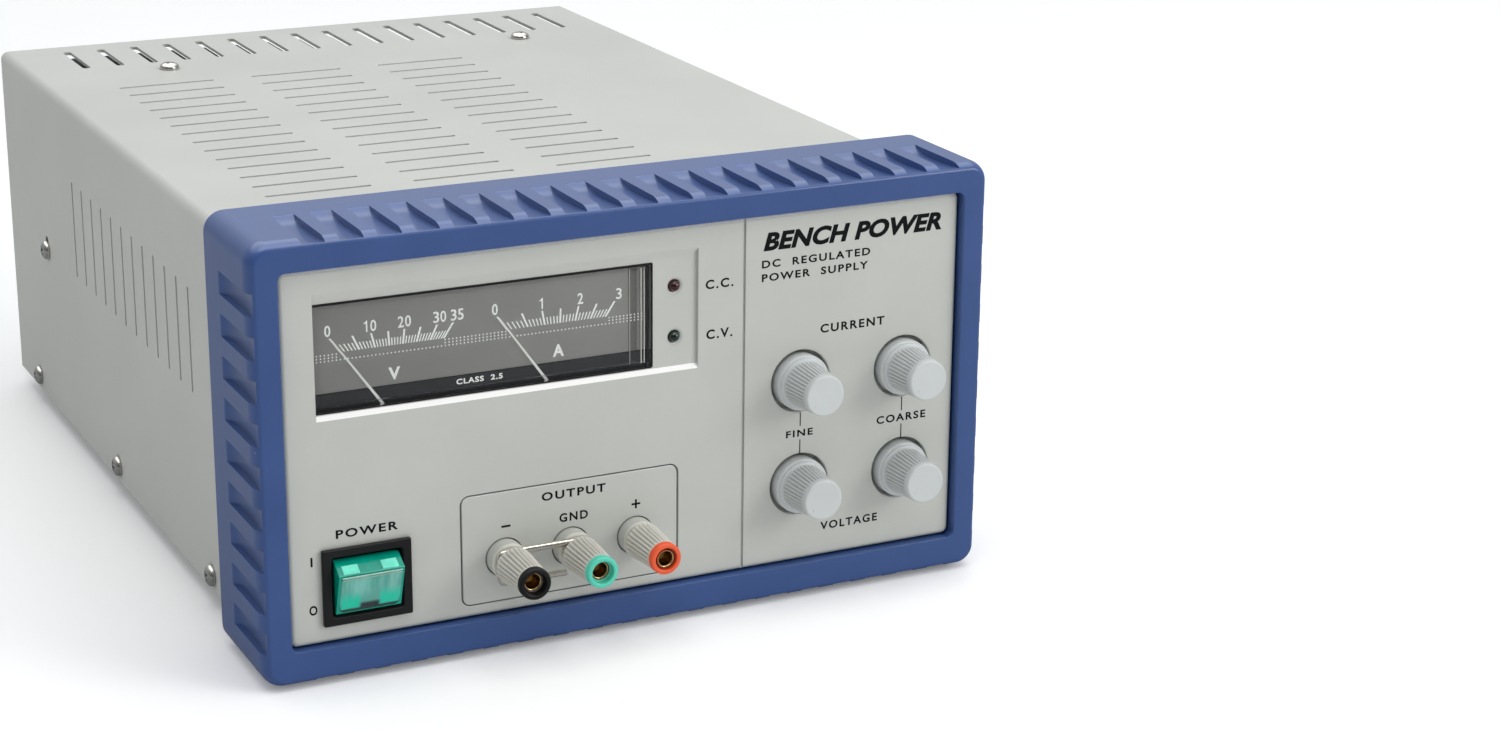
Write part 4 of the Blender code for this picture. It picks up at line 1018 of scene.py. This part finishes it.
def make_labels():
    y = depth(PANEL_FACE)
    mesh = bmesh.new()
    add_words(mesh, WORDS, y)
    add_bar(mesh, *SWITCH_ON_BAR, y)
    add_text(mesh, "BENCH POWER", 37.4, 92.5, 101.4, 106.6, y, slant=0.25, bold=0.045, spacing=1.04)
    add_bar(mesh, *MINUS_BAR, y)
    add_bar(mesh, *PLUS_BAR, y)
    for start, end in PLUS_STEMS:
        add_bar(mesh, -0.58, -0.02, start, end, y)
    for x in KNOB_LINE_X:
        for start, end in KNOB_LINES:
            add_bar(mesh, x - 0.16, x + 0.16, start, end, y)
    place(make_object("panel_print", mesh, print_dark, 20))
    # Grey ink on the floor of the outline groove: painted shade in the groove.
    foot = depth(PANEL_FACE + 0.38)
    rings = []
    for grow, along in ((-0.17, foot), (-0.17, foot + 0.1), (0.17, foot + 0.1), (0.17, foot)):
        rings.append(inset_ring(OUTPUT_OUTLINE, -grow, 2.4 + grow, along, 8))
    mesh = ringed(rings, True)
    place(make_object("outline_groove_shade", mesh, groove_shade_grey, 20))
    mesh = bmesh.new()
    add_words(mesh, LAMP_WORDS, y)
    place(make_object("indicator_print", mesh, print_dark, 20))


# ---- Meter ----

SWEEP_START = -35.3
SWEEP = 69.5
MAJOR_TICK = (87.8, 91.7)
MINOR_TICK = (87.8, 89.8)
DOT_ROWS = (87.4, 86.6, 85.8)
DOT_PITCH = 1.05
DOT_RADIUS = 0.21
NUMERALS = {
    "volts": (("0", -83.9), ("10", -72.65), ("20", -63.3), ("30", -53.7), ("35", -48.9)),
    "amps": (("0", -38.5), ("1", -25.4), ("2", -14.4), ("3", -3.3)),
}
DIVISIONS = {"volts": 35, "amps": 30}
PIVOTS = {"volts": Vector((-66.4, 0, 67.7)), "amps": Vector((-20.9, 0, 67.7))}
WINDOW_BACK = 4.9
POINTER = (
    (-4.9, 0.45, 0.12), (-4.8, 0.62, 0.2), (-1.5, 0.5, 0.2), (3.0, 0.42, 0.2),
    (20.0, 0.28, 0.16), (29.0, 0.22, 0.12), (29.2, 0.12, 0.06),
)
NUMERAL_Z = 93.7
NUMERAL_HEIGHT = 3.0
DIGIT_PITCH = 1.95


def scale_angle(share):
    """The pointer's angle from upright at a share of full scale; the divisions close up towards the end."""
    return math.radians(SWEEP_START + SWEEP * (1.08 * share - 0.08 * share**5))


def add_tick(mesh, pivot, share, span, half, y):
    angle = scale_angle(share)
    outline = []
    for z, side in ((span[0], -1), (span[0], 1), (span[1], 1), (span[1], -1)):
        middle = pivot.x + math.tan(angle) * (z - pivot.z)
        outline.append((middle + side * half / math.cos(angle), z))
    add_patch(mesh, outline, y)


def add_dot(mesh, x, z, y):
    turns = [corner * math.pi / 4 for corner in range(8)]
    ring = [(x + DOT_RADIUS * math.cos(turn), z + DOT_RADIUS * math.sin(turn)) for turn in turns]
    add_patch(mesh, ring, y)


def add_digit(mesh, digit, x, y):
    bottom, top = NUMERAL_Z - NUMERAL_HEIGHT / 2, NUMERAL_Z + NUMERAL_HEIGHT / 2
    if digit != "1":
        add_text(mesh, digit, x - 0.8, x + 0.8, bottom, top, y, bold=0.012)
        return
    outline = [(x - 0.02, bottom), (x + 0.36, bottom), (x + 0.36, top), (x + 0.1, top)]
    outline += [(x - 0.22, top - 0.42), (x - 0.62, top - 0.56), (x - 0.62, top - 0.86), (x - 0.02, top - 0.8)]
    add_patch(mesh, outline, y)


def make_scale_plate():
    low, high = box_mm("meter_scale")
    mesh = bmesh.new()
    add_box(mesh, low, high)
    plate = make_object("scale_plate", mesh, scale_grey)
    holes = bmesh.new()
    for pivot in PIVOTS.values():
        add_lathe(holes, "y", (pivot.x, pivot.z), hole(low.y - 1, high.y + 1, 1.4), 32)
    cut(plate, holes)
    soften(plate, 0.08, 1)
    place(plate, CHASSIS, ("meter_scale",))


def make_scale_print():
    low, high = box_mm("meter_scale")
    y = low.y
    mesh = bmesh.new()
    for label, divisions in DIVISIONS.items():
        pivot = PIVOTS[label]
        for index in range(divisions + 1):
            span, half = (MINOR_TICK, 0.15) if index % 5 else (MAJOR_TICK, 0.24)
            add_tick(mesh, pivot, index / divisions, span, half, y)
        for text, x in NUMERALS[label]:
            left = x - DIGIT_PITCH * len(text) / 2
            for digit in text:
                add_digit(mesh, digit, left + DIGIT_PITCH / 2, y)
                left += DIGIT_PITCH
    add_text(mesh, "V", -68.0, -64.8, 78.5, 81.9, y, bold=0.03)
    add_text(mesh, "A", -22.4, -19.2, 78.6, 82.0, y, bold=0.03)
    add_text(mesh, "CLASS  2.5", -49.7, -36.8, 74.9, 76.4, depth(5.93), bold=0.03, spacing=1.15)
    ends = []
    for pivot in PIVOTS.values():
        ends.append([pivot.x + math.tan(scale_angle(share)) * 19.7 for share in (0, 1)])
    for index in range(int((high.x - low.x - 2) / DOT_PITCH)):
        x = low.x + 1.2 + index * DOT_PITCH
        add_dot(mesh, x, DOT_ROWS[2], y)
        if all(x < start - 0.6 or x > end + 0.6 for start, end in ends):
            add_dot(mesh, x, DOT_ROWS[0], y)
            add_dot(mesh, x, DOT_ROWS[1], y)
    place(make_object("scale_print", mesh, print_light, 20))


def make_sill():
    """The black step under the scale: a dark sheet that paints the band of shade at the scale's foot. The
    pointers pass in front of it.
    """
    left, right = WINDOW[:2]
    outline = [(depth(6.38), 70.0), (depth(6.38), 77.3), (depth(6.15), 77.3), (depth(6.0), 77.0)]
    outline += [(depth(5.95), 73.4), (depth(5.95), 70.0)]
    mesh = bmesh.new()
    add_prism(mesh, "x", outline, left + 0.5, right - 0.5)
    sill = make_object("meter_shade_sill", mesh, shade_sill_black)
    soften(sill, 0.05, 1)
    place(sill)


def make_window():
    low, high = box_mm("meter_window")
    front, back = low.y, depth(WINDOW_BACK)
    span = front_span(low, high)
    rings = []
    for inset, y in ((0.5, front), (0.22, front + 0.1), (0.06, front + 0.3), (0.0, front + 0.6), (0.0, back)):
        rings.append(inset_ring(span, inset, 0.7, y, 5))
    for inset, y in ((1.3, back), (1.3, front + 1.5), (1.6, front + 1.2)):
        rings.append(inset_ring(span, inset, 0.4, y, 5))
    mesh = ringed(rings)
    window = make_object("window_cover", mesh, window_clear)
    place(window, CHASSIS, ("meter_window",))
    # Pale tubes near the window's right end, glowing a little: painted highlights.
    mesh = bmesh.new()
    for inset, half in ((1.7, 0.13), (2.6, 0.17), (5.9, 0.06)):
        x = high.x - inset
        add_tube(mesh, [(x, front + 1.4, low.z + 1.2), (x, front + 1.4, high.z - 1.2)], half, 8)
    place(make_object("window_glints", mesh, glint_white, 60), CHASSIS, ())
    rings = []
    for grow, y in ((0.0, front + 0.9), (0.0, front + 0.55), (0.3, front + 0.5), (0.3, front + 0.9)):
        rings.append(inset_ring(span, -grow, 0.7 + grow, y, 5))
    mesh = ringed(rings, True)
    place(make_object("window_gasket", mesh, black), CHASSIS, ())
    # Black strips along the window's top edge and close to its right end: dark lines of painted shade.
    mesh = bmesh.new()
    add_box(mesh, (low.x + 0.1, front - 0.1, high.z - 0.3), (high.x - 0.1, front + 0.35, high.z + 0.2))
    add_box(mesh, (high.x - 0.95, front + 1.2, low.z + 1.3), (high.x - 0.5, front + 1.8, high.z - 0.6))
    place(make_object("window_shade_lines", mesh, black), CHASSIS, ())
    # A grey band printed near the scale's right end: a painted shadow.
    face = box_mm("meter_scale")[0].y
    mesh = bmesh.new()
    add_box(mesh, (high.x - 5.6, face - 0.012, 77.3), (high.x - 3.0, face + 0.05, high.z - 0.2))
    place(make_object("scale_end_shadow_band", mesh, scale_shade), CHASSIS, ())


def make_needle(label, pivot):
    """A tapered pointer with a short tail, and its hub and arbor."""
    node = f"needle_{label}"
    low, high = box_mm(node)
    angle = math.radians(-SWEEP_START)
    rings = []
    for along, across, thick in POINTER:
        ring = []
        for step in range(12):
            turn = 2 * math.pi * step / 12
            side = across * math.cos(turn)
            x = pivot.x - along * math.sin(angle) + side * math.cos(angle)
            z = pivot.z + along * math.cos(angle) + side * math.sin(angle)
            ring.append((x, low.y + 0.25 + thick * math.sin(turn), z))
        rings.append(ring)
    mesh = ringed(rings)
    place(make_object(f"pointer_{label}", mesh, pointer_white, 40), node, ())
    front = low.y
    hub = [(front, 0), (front, 1.9), (front + 0.15, 2.3), (front + 0.6, 2.4), (front + 0.6, 0.8)]
    hub += [(high.y, 0.8), (high.y, 0)]
    turned(f"pointer_hub_{label}", black, "y", (pivot.x, pivot.z), hub, node, (node,), 40)


def make_meter():
    refine("meter_housing", black, 0.3)
    make_scale_plate()
    make_scale_print()
    make_sill()
    make_window()
    for label, pivot in PIVOTS.items():
        make_needle(label, pivot)


def make_leds():
    for label, tint, finish in (("cc", "red", led_red), ("cv", "green", led_green)):
        low, high = box_mm(f"led_{label}")
        centre = (low + high) / 2
        profile = [(low.y + back, LED_RADIUS - inset) for inset, back in rounding(LED_RADIUS, 1.5, 8)]
        profile[0] = (low.y, 0)
        profile += [(depth(6.9), LED_RADIUS), (depth(6.9), 1.9), (depth(7.9), 1.9), (depth(7.9), 0.6)]
        profile += [(high.y, 0.6), (high.y, 0)]
        name, nodes = f"lamp_{label}", (f"led_{label}",)
        turned(name, finish, "y", (centre.x, centre.z), profile, CHASSIS, nodes, 40)


# ---- Knobs ----

KNOB_FLUTES = 38
LED_RADIUS = 1.5


def make_knobs():
    tip, cone, base = depth(-10.4), depth(-0.7), depth(4.6)

    def flutes(along, radius, angle):
        if along < tip or along > cone:
            return 0.0
        fade = min(1.0, (along - tip) / 0.7, (cone - along) / 0.5)
        groove = max(0.0, math.cos(angle * KNOB_FLUTES) - 0.25) / 0.75
        return -0.34 * fade * groove

    for label in KNOBS:
        node = f"knob_{label}"
        low, high = box_mm(node)
        centre = (low + high) / 2
        front = low.y
        profile = [(front + 0.06, 0), (front + 0.02, 4.7), (front, 5.15), (front + 0.05, 5.42)]
        profile += [(front + 0.2, 5.62), (front + 0.5, 5.74), (front + 1.2, 5.78), (tip - 0.05, 5.78)]
        for step in range(15):
            share = step / 14
            profile.append((tip + share * (cone - tip), 5.78 + 0.85 * share))
        profile += [
            (cone + 0.1, 6.75), (cone + 0.2, 7.1), (cone + 0.35, 7.3), (cone + 0.8, 7.36),
            (cone + 1.0, 7.42), (cone + 1.1, 7.62), (cone + 1.25, 7.8), (cone + 1.5, 7.88),
            (cone + 2.3, 7.9), (base - 0.15, 7.9), (base, 7.75), (base, 4.4), (depth(1.6), 4.4),
            (depth(1.6), 3.0), (high.y, 3.0), (high.y, 0),
        ]
        name, middle = f"{node}_cap", (centre.x, centre.z)
        turned(name, knob_white, "y", middle, profile, node, (node,), 304, flutes)
        profile = [(front - 0.08, 0), (front - 0.07, 0.2), (front - 0.03, 0.32), (front + 0.02, 0.34)]
        profile.append((front + 0.02, 0))
        middle = (centre.x - 2.9, centre.z - 2.5)
        turned(f"{node}_dot", knob_white, "y", middle, profile, node, (), 24)


# ---- Switch ----


ROCKER_PIVOT_DEPTH = 4.3
ROCKER_TILT = math.radians(18.0)


def make_switch_frame():
    low, high = box_mm("switch_housing")
    x, z = centre_mm("switch_housing").xz
    span = front_span(low, high)
    rings = []
    for inset, front in ((0.4, 0.9), (0.22, 0.94), (0.08, 1.06), (0.0, 1.3), (0.0, 2.1)):
        rings.append(inset_ring(span, inset, 0.45, depth(front)))
    inner = rounded_rectangle(low.x + 1.5, high.x - 1.5, low.z + 1.2, high.z - 1.2, 0.8)
    rings += [ring_at(inner, depth(2.1)), ring_at(inner, high.y)]
    mesh = ringed(rings)
    frame_piece = make_object("switch_frame", mesh, black)
    rings = []
    for grow, front in ((0.9, -0.5), (0.55, 0.9), (0.15, 1.7), (0.0, 2.4), (0.0, 12.5)):
        hollow = (x - 9.3, x + 9.3, z - 7.9, z + 7.9)
        rings.append(inset_ring(hollow, -grow, 0.5 + grow, depth(front), 5))
    mesh = ringed(rings)
    cut(frame_piece, mesh)
    soften(frame_piece, 0.12, 2)
    place(frame_piece, CHASSIS, ("switch_housing",))


def tilted(points):
    """Turns (along the rocker, out of its face) pairs into (y, z) places on the rocker at rest."""
    z = centre_mm("switch_housing").z
    found = []
    for along, out in points:
        forward = along * math.sin(ROCKER_TILT) + out * math.cos(ROCKER_TILT)
        up = along * math.cos(ROCKER_TILT) - out * math.sin(ROCKER_TILT)
        found.append((depth(ROCKER_PIVOT_DEPTH) - forward, z + up))
    return found


def make_rocker():
    low, high = box_mm("rocker")
    x = centre_mm("switch_housing").x
    body = [(6.0, 5.3), (-6.0, 5.3), (-6.25, 5.1), (-7.4, 0.0), (-7.1, -1.2), (-4.5, -3.6)]
    body += [(4.5, -3.6), (7.1, -1.2), (7.4, 0.0), (6.25, 5.1)]
    mesh = bmesh.new()
    add_prism(mesh, "x", tilted(body), low.x, high.x)
    shell = make_object("rocker_body", mesh, rocker_teal)
    soften(shell, 0.3, 3, 30)
    place(shell, "rocker", ("rocker",))

    corners = tilted([(6.0, 5.6), (-6.0, 5.6)])
    face_look = lit_rocker("rocker_face_look", x, corners[0][1], corners[1][1])
    rings = []
    for inset, out in ((0.9, 5.2), (0.9, 5.45), (0.98, 5.55), (1.2, 5.6)):
        span = (low.x + inset * 0.7, high.x - inset * 0.7, -6.0 + inset * 0.5, 6.15 - inset * 0.4)
        ring = []
        for across, along in inset_outline(span, 0.0, 1.5):
            dish = 0.16 * (1 - (along / 6.0) ** 2)
            ring.append((across, *tilted([(along, out - dish)])[0]))
        rings.append(ring)
    mesh = ringed(rings)
    place(make_object("rocker_face", mesh, face_look, 50), "rocker", ())

    # Two raised beads along the ridge; their pale colour is a painted highlight.
    mesh = bmesh.new()
    for offset, wide in ((5.8, 0.19), (5.05, 0.12)):
        y, up = tilted([(offset, 5.58)])[0]
        run = high.x - low.x - 1.6
        add_tube(mesh, [(low.x + 0.8 + run * step / 12, y, up) for step in range(13)], wide, 10)
    place(make_object("rocker_ridge_highlight", mesh, rocker_ridge_highlight, 60), "rocker", ())

    mesh = bmesh.new()
    for middle in (x - 5.3, x + 5.3):
        for sign in (1, -1):
            block = [(6.46, 4.75), (7.1, 1.9), (6.5, 1.9), (5.86, 4.75)]
            outline = tilted([(sign * along, out) for along, out in block])
            add_prism(mesh, "x", outline, middle - 2.2, middle + 2.2)
    windows = make_object("rocker_windows", mesh, mint_inner)
    soften(windows, 0.1, 2)
    place(windows, "rocker", ())


# ---- Binding posts ----

CAP_FLUTES = 26
CAP_FLUTED_FROM = 4.35
CAP_BORE = 2.6
STUD_RADIUS = 2.5
SHOULDER_RADIUS = 4.6


def make_stud(label, centre):
    """A brass stud with a plug socket in its tip and a shoulder behind its collar."""
    low, high = box_mm(f"stud_{label}")
    front = low.y
    profile = [(front + 9.5, 0), (front + 9.2, 1.2), (front + 8.8, 1.85), (front + 0.5, 1.95)]
    profile += [(front + 0.12, 2.05), (front, 2.2), (front, 2.35), (front + 0.12, 2.46)]
    profile += [(front + 0.4, STUD_RADIUS), (depth(9.5), STUD_RADIUS), (depth(9.5), SHOULDER_RADIUS)]
    profile += [(depth(12.5), SHOULDER_RADIUS), (depth(12.5), 1.5), (high.y, 1.5), (high.y, 0)]
    turned(f"socket_{label}", brass, "y", centre, profile, CHASSIS, (f"stud_{label}",), 64)


def make_collar(label, centre):
    """A cream ring on a grey sleeve, both round the stud."""
    low, high = box_mm(f"collar_{label}")
    front = low.y
    profile = [(front, 2.8), (front, 4.5), (front + 0.1, 4.85), (front + 0.3, 5.08), (front + 0.55, 5.15)]
    profile += [(front + 0.95, 5.15), (front + 0.95, 2.8)]
    name, nodes = f"collar_ring_{label}", (f"collar_{label}",)
    turned(name, cream, "y", centre, profile, CHASSIS, nodes, 96)
    profile = [(front + 1.0, 2.8), (front + 1.0, 4.95), (front + 1.12, 5.08), (front + 1.3, 5.1)]
    profile += [(high.y, 5.15), (high.y, 2.8)]
    turned(f"collar_sleeve_{label}", collar_grey, "y", centre, profile, CHASSIS, (), 96)


def make_cap(label, centre, tint):
    """A fluted grip, flared towards the panel, with a coloured ring at its tip."""
    node = f"cap_{label}"
    low, high = box_mm(node)
    tip, base = low.y, high.y
    ring_start = tip + 2.0

    def flutes(along, radius, angle):
        if radius < CAP_FLUTED_FROM:
            return 0.0
        fade = max(0.0, min(1.0, (along - ring_start - 0.25) / 0.5, (base - 0.25 - along) / 0.6))
        return -0.5 * fade * (0.5 + 0.5 * math.cos(angle * CAP_FLUTES)) ** 1.4

    profile = [(base - 0.9, 4.3), (base, 4.5), (base - 0.05, 4.95), (base - 0.3, 5.15)]
    for step in range(13):
        share = step / 12
        profile.append((base - 0.8 + share * (ring_start + 0.2 - base + 0.8), 5.15 - 0.78 * share))
    profile += [(ring_start + 0.02, 4.3), (ring_start + 0.02, CAP_BORE), (base - 0.9, CAP_BORE)]
    turned(f"{node}_grip", cap_grey, "y", centre, profile, node, (node,), 208, flutes)
    profile = [(ring_start, CAP_BORE), (ring_start, 4.38), (tip + 0.55, 4.36), (tip + 0.2, 4.26)]
    profile += [(tip, 4.0), (tip, 3.3), (tip + 0.12, 3.12), (tip + 1.7, 3.05), (tip + 1.8, CAP_BORE)]
    turned(f"{node}_tip", tint, "y", centre, profile, node, (), 72)


def make_washer(label, centre):
    node = f"clamp_washer_{label}"
    low, high = box_mm(node)
    profile = [(low.y + 0.08, CAP_BORE), (low.y, 2.7), (low.y, 3.95), (low.y + 0.1, 4.1)]
    profile += [(high.y - 0.1, 4.1), (high.y, 3.95), (high.y, 2.7), (high.y - 0.08, CAP_BORE)]
    turned(f"washer_{label}", nickel, "y", centre, profile, node, (node,), 64)


def make_posts():
    for label, tint in zip(POSTS, (cap_black, cap_green, cap_red)):
        middle = centre_mm(f"stud_{label}")
        centre = (middle.x, middle.z)
        make_stud(label, centre)
        make_collar(label, centre)
        make_cap(label, centre, tint)
        make_washer(label, centre)


def make_link():
    """The pressed link: a dished plate with a hole over one post and an open slot over the next."""
    low, high = box_mm("shorting_link")
    left, right = centre_mm("stud_negative").x, centre_mm("stud_ground").x
    middle = (low.z + high.z) / 2
    front, back = low.y, high.y
    edge = ((1.95, front + 0.34), (1.7, front + 0.32), (1.42, front + 0.2), (1.2, front + 0.04))
    edge += ((1.0, front), (0.75, front), (0.42, front + 0.08), (0.16, front + 0.26))
    edge += ((0.03, front + 0.5), (0.0, front + 0.8), (0.0, back - 0.1), (0.1, back), (0.5, back))
    edge += ((0.6, back - 0.1), (0.6, front + 0.7))
    span = front_span(low, high)
    mesh = ringed([inset_ring(span, inset, 2.0 - inset, y, 8) for inset, y in edge])
    link = make_object("link_plate", mesh, bright_nickel)
    holes = bmesh.new()
    add_lathe(holes, "y", (left, middle), hole(front - 1, front + 1, 3.3), 48)
    outline = rounded_rectangle(left + 6.1, right + 3.3, middle - 3.3, middle + 3.3, 2.0, 8)
    add_prism(holes, "y", outline, front - 1, front + 1)
    mouth = bmesh.new()
    add_box(mouth, (right - 3.8, front - 1, middle - 6), (right + 2.8, back + 1, middle))
    cut(link, holes, mouth)
    soften(link, 0.2, 3, 40)
    place(link, "shorting_link", ("shorting_link",))


# ---- Back of the case ----


def make_back():
    refine("mains_inlet", black, 0.35, segments=3)
    refine("fuse_drawer", black, 0.3, "fuse_drawer")
    refine("selector_housing", black, 0.3)
    refine("selector_slider", red_plastic, 0.25, "selector_slider")
    middle = centre_mm("mains_inlet")
    mesh = bmesh.new()
    for across, up in ((-7.0, -8.4), (7.0, -8.4), (0.0, -4.4)):
        x, z = middle.x + across, middle.z + up
        span = (x - 1, x + 1, z - 2, z + 2)
        steps = ((0.06, 266.5), (0.06, 274.2), (-0.25, 275.1))
        add_rings(mesh, [inset_ring(span, -grow, 0.25, depth(back), 3) for grow, back in steps])
    place(make_object("inlet_blades", mesh, nickel, 30), CHASSIS, ())
    y = box_mm("rear_panel")[1].y
    mesh = bmesh.new()
    spans = []
    for text, left, right, bottom in (("AC INPUT", 29.5, 43.5, 11.0), ("115 V     230 V", -3.5, 27.5, 37.4)):
        add_text(mesh, text, left, right, bottom, bottom + 2.0, y, bold=0.01, spacing=1.2)
        spans.append((left, right))
    turn_about(mesh, spans)
    place(make_object("rear_print", mesh, print_dark, 20))


def turn_about(mesh, spans):
    """Turns words round so that they read from behind."""
    for vertex in mesh.verts:
        for left, right in spans:
            if left - 0.1 <= vertex.co.x <= right + 0.1:
                vertex.co.x = left + right - vertex.co.x
                break
    for face in mesh.faces:
        face.normal_flip()


def paint_inside():
    finishes = {
        "transformer_core": core_steel,
        "transformer_coil": tape,
        "front_board": board_green,
        "main_board": board_green,
        "capacitor_left": sleeve_blue,
        "capacitor_right": sleeve_blue,
        "rectifier": black,
        "power_transistor": nickel,
        "mains_wires": black,
        "output_wires": red_plastic,
    }
    for label in KNOBS:
        finishes[f"pot_{label}"] = zinc
    for node, finish in finishes.items():
        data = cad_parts[node].data
        data.materials.clear()
        data.materials.append(finish)


# ---- Studio ----

FLOOR_GLOW = 0.14
FLOOR_IN_REFLECTIONS = (0.30, 0.31, 0.33, 1.0)


def make_floor():
    mesh = bmesh.new()
    add_box(mesh, (-3000, -3000, -20), (3000, 3000, 0))
    nodes = Nodes("floor_look")
    tone = nodes.ramp(nodes.noise(3.0), (0.3, 0.93), (0.7, 0.95))
    rays = nodes.add("ShaderNodeLightPath").outputs
    nodes.set(Base_Color=nodes.mix(rays["Is Glossy Ray"], tone, FLOOR_IN_REFLECTIONS), Roughness=0.6)
    glow = nodes.math("MULTIPLY", rays["Is Camera Ray"], FLOOR_GLOW)
    nodes.set(Emission_Color=(1.0, 1.0, 1.0, 1.0), Emission_Strength=glow)
    make_object("studio_floor", mesh, nodes.material)


def make_light(name, place_at, target, size, power, colour=(1.0, 1.0, 1.0)):
    data = bpy.data.lights.new(name, "AREA")
    data.shape = "RECTANGLE"
    data.size, data.size_y = size
    data.energy = power
    data.color = colour
    light = bpy.data.objects.new(name, data)
    bpy.context.scene.collection.objects.link(light)
    light.location = Vector(place_at)
    light.rotation_euler = (Vector(target) - light.location).to_track_quat("-Z", "Y").to_euler()


WORLD_FRONT, WORLD_BACK = 0.44, 1.05
WORLD_LEFT, WORLD_RIGHT = 0.72, 0.95
SHEEN_BACKWARD = 0.25
SHEEN_STEPS = ((0.12, 0.30), (0.50, 0.70), (0.70, 0.85), (0.84, 3.4))
SHEEN_MOST = 10.0


def make_world():
    """A pale room, brighter behind and on the right. Reflections see a bright strip overhead."""
    world = bpy.data.worlds.new("studio")
    bpy.context.scene.world = world
    world.use_nodes = True
    nodes = Tree(world.node_tree)
    background = nodes.tree.nodes["Background"]
    background.inputs["Color"].default_value = (0.96, 0.98, 1.0, 1.0)
    where = nodes.add("ShaderNodeTexCoord").outputs["Generated"]
    parts = nodes.add("ShaderNodeSeparateXYZ", {0: where}).outputs
    levels = []
    for axis, low, high in (("Y", WORLD_FRONT, WORLD_BACK), ("X", WORLD_LEFT, WORLD_RIGHT)):
        inputs = {"Value": parts[axis], "From Min": -1.0, "To Min": low, "To Max": high}
        levels.append(nodes.add("ShaderNodeMapRange", inputs).outputs["Result"])
    level = nodes.math("MULTIPLY", *levels)
    rays = nodes.add("ShaderNodeLightPath")
    height = nodes.math("MULTIPLY_ADD", parts["Y"], SHEEN_BACKWARD, parts["Z"])
    sheen = nodes.ramp(height, *[(position, value / SHEEN_MOST) for position, value in SHEEN_STEPS])
    louder = nodes.math("MULTIPLY", sheen, SHEEN_MOST)
    pick = nodes.add("ShaderNodeMix", {0: rays.outputs["Is Glossy Ray"], 2: 1.0, 3: louder})
    nodes.give(background.inputs["Strength"], nodes.math("MULTIPLY", level, pick.outputs[0]))


def make_studio():
    make_world()
    make_light("overhead", (0.0, -0.4, 1.4), (0, 0, 0.06), (1.3, 1.0), 8.0)
    make_light("front_right", (1.3, -1.4, 0.9), (0, -0.1, 0.06), (1.0, 1.0), 15.0, (1.0, 0.99, 0.97))


CAMERA_ANGLES = (-26.892, 17.908, 0.628)
CAMERA_PLACE = (-305.68, -799.49, 312.33)
CAMERA_LENS = 69.85


def make_camera():
    azimuth, elevation, roll = (math.radians(value) for value in CAMERA_ANGLES)
    level = math.cos(elevation)
    back = Vector((math.sin(azimuth) * level, -math.cos(azimuth) * level, math.sin(elevation)))
    right = Vector((math.cos(azimuth), math.sin(azimuth), 0))
    up = back.cross(right)
    across = math.cos(roll) * right + math.sin(roll) * up
    above = -math.sin(roll) * right + math.cos(roll) * up
    data = bpy.data.cameras.new("camera")
    data.lens = CAMERA_LENS
    data.sensor_width = 36.0
    data.clip_start, data.clip_end = 0.01, 20.0
    camera = bpy.data.objects.new("camera", data)
    bpy.context.scene.collection.objects.link(camera)
    place_at = Vector(CAMERA_PLACE) * MM
    rows = [(across[i], above[i], back[i], place_at[i]) for i in range(3)]
    camera.matrix_world = Matrix((*rows, (0, 0, 0, 1)))
    bpy.context.scene.camera = camera


make_cover()
make_case_parts()
make_screws()
make_bezel()
make_front_panel()
make_labels()
make_meter()
make_leds()
make_knobs()
make_switch_frame()
make_rocker()
make_posts()
make_link()
make_back()
paint_inside()
make_floor()
make_studio()
make_camera()
bpy.context.scene.view_settings.view_transform = "Standard"
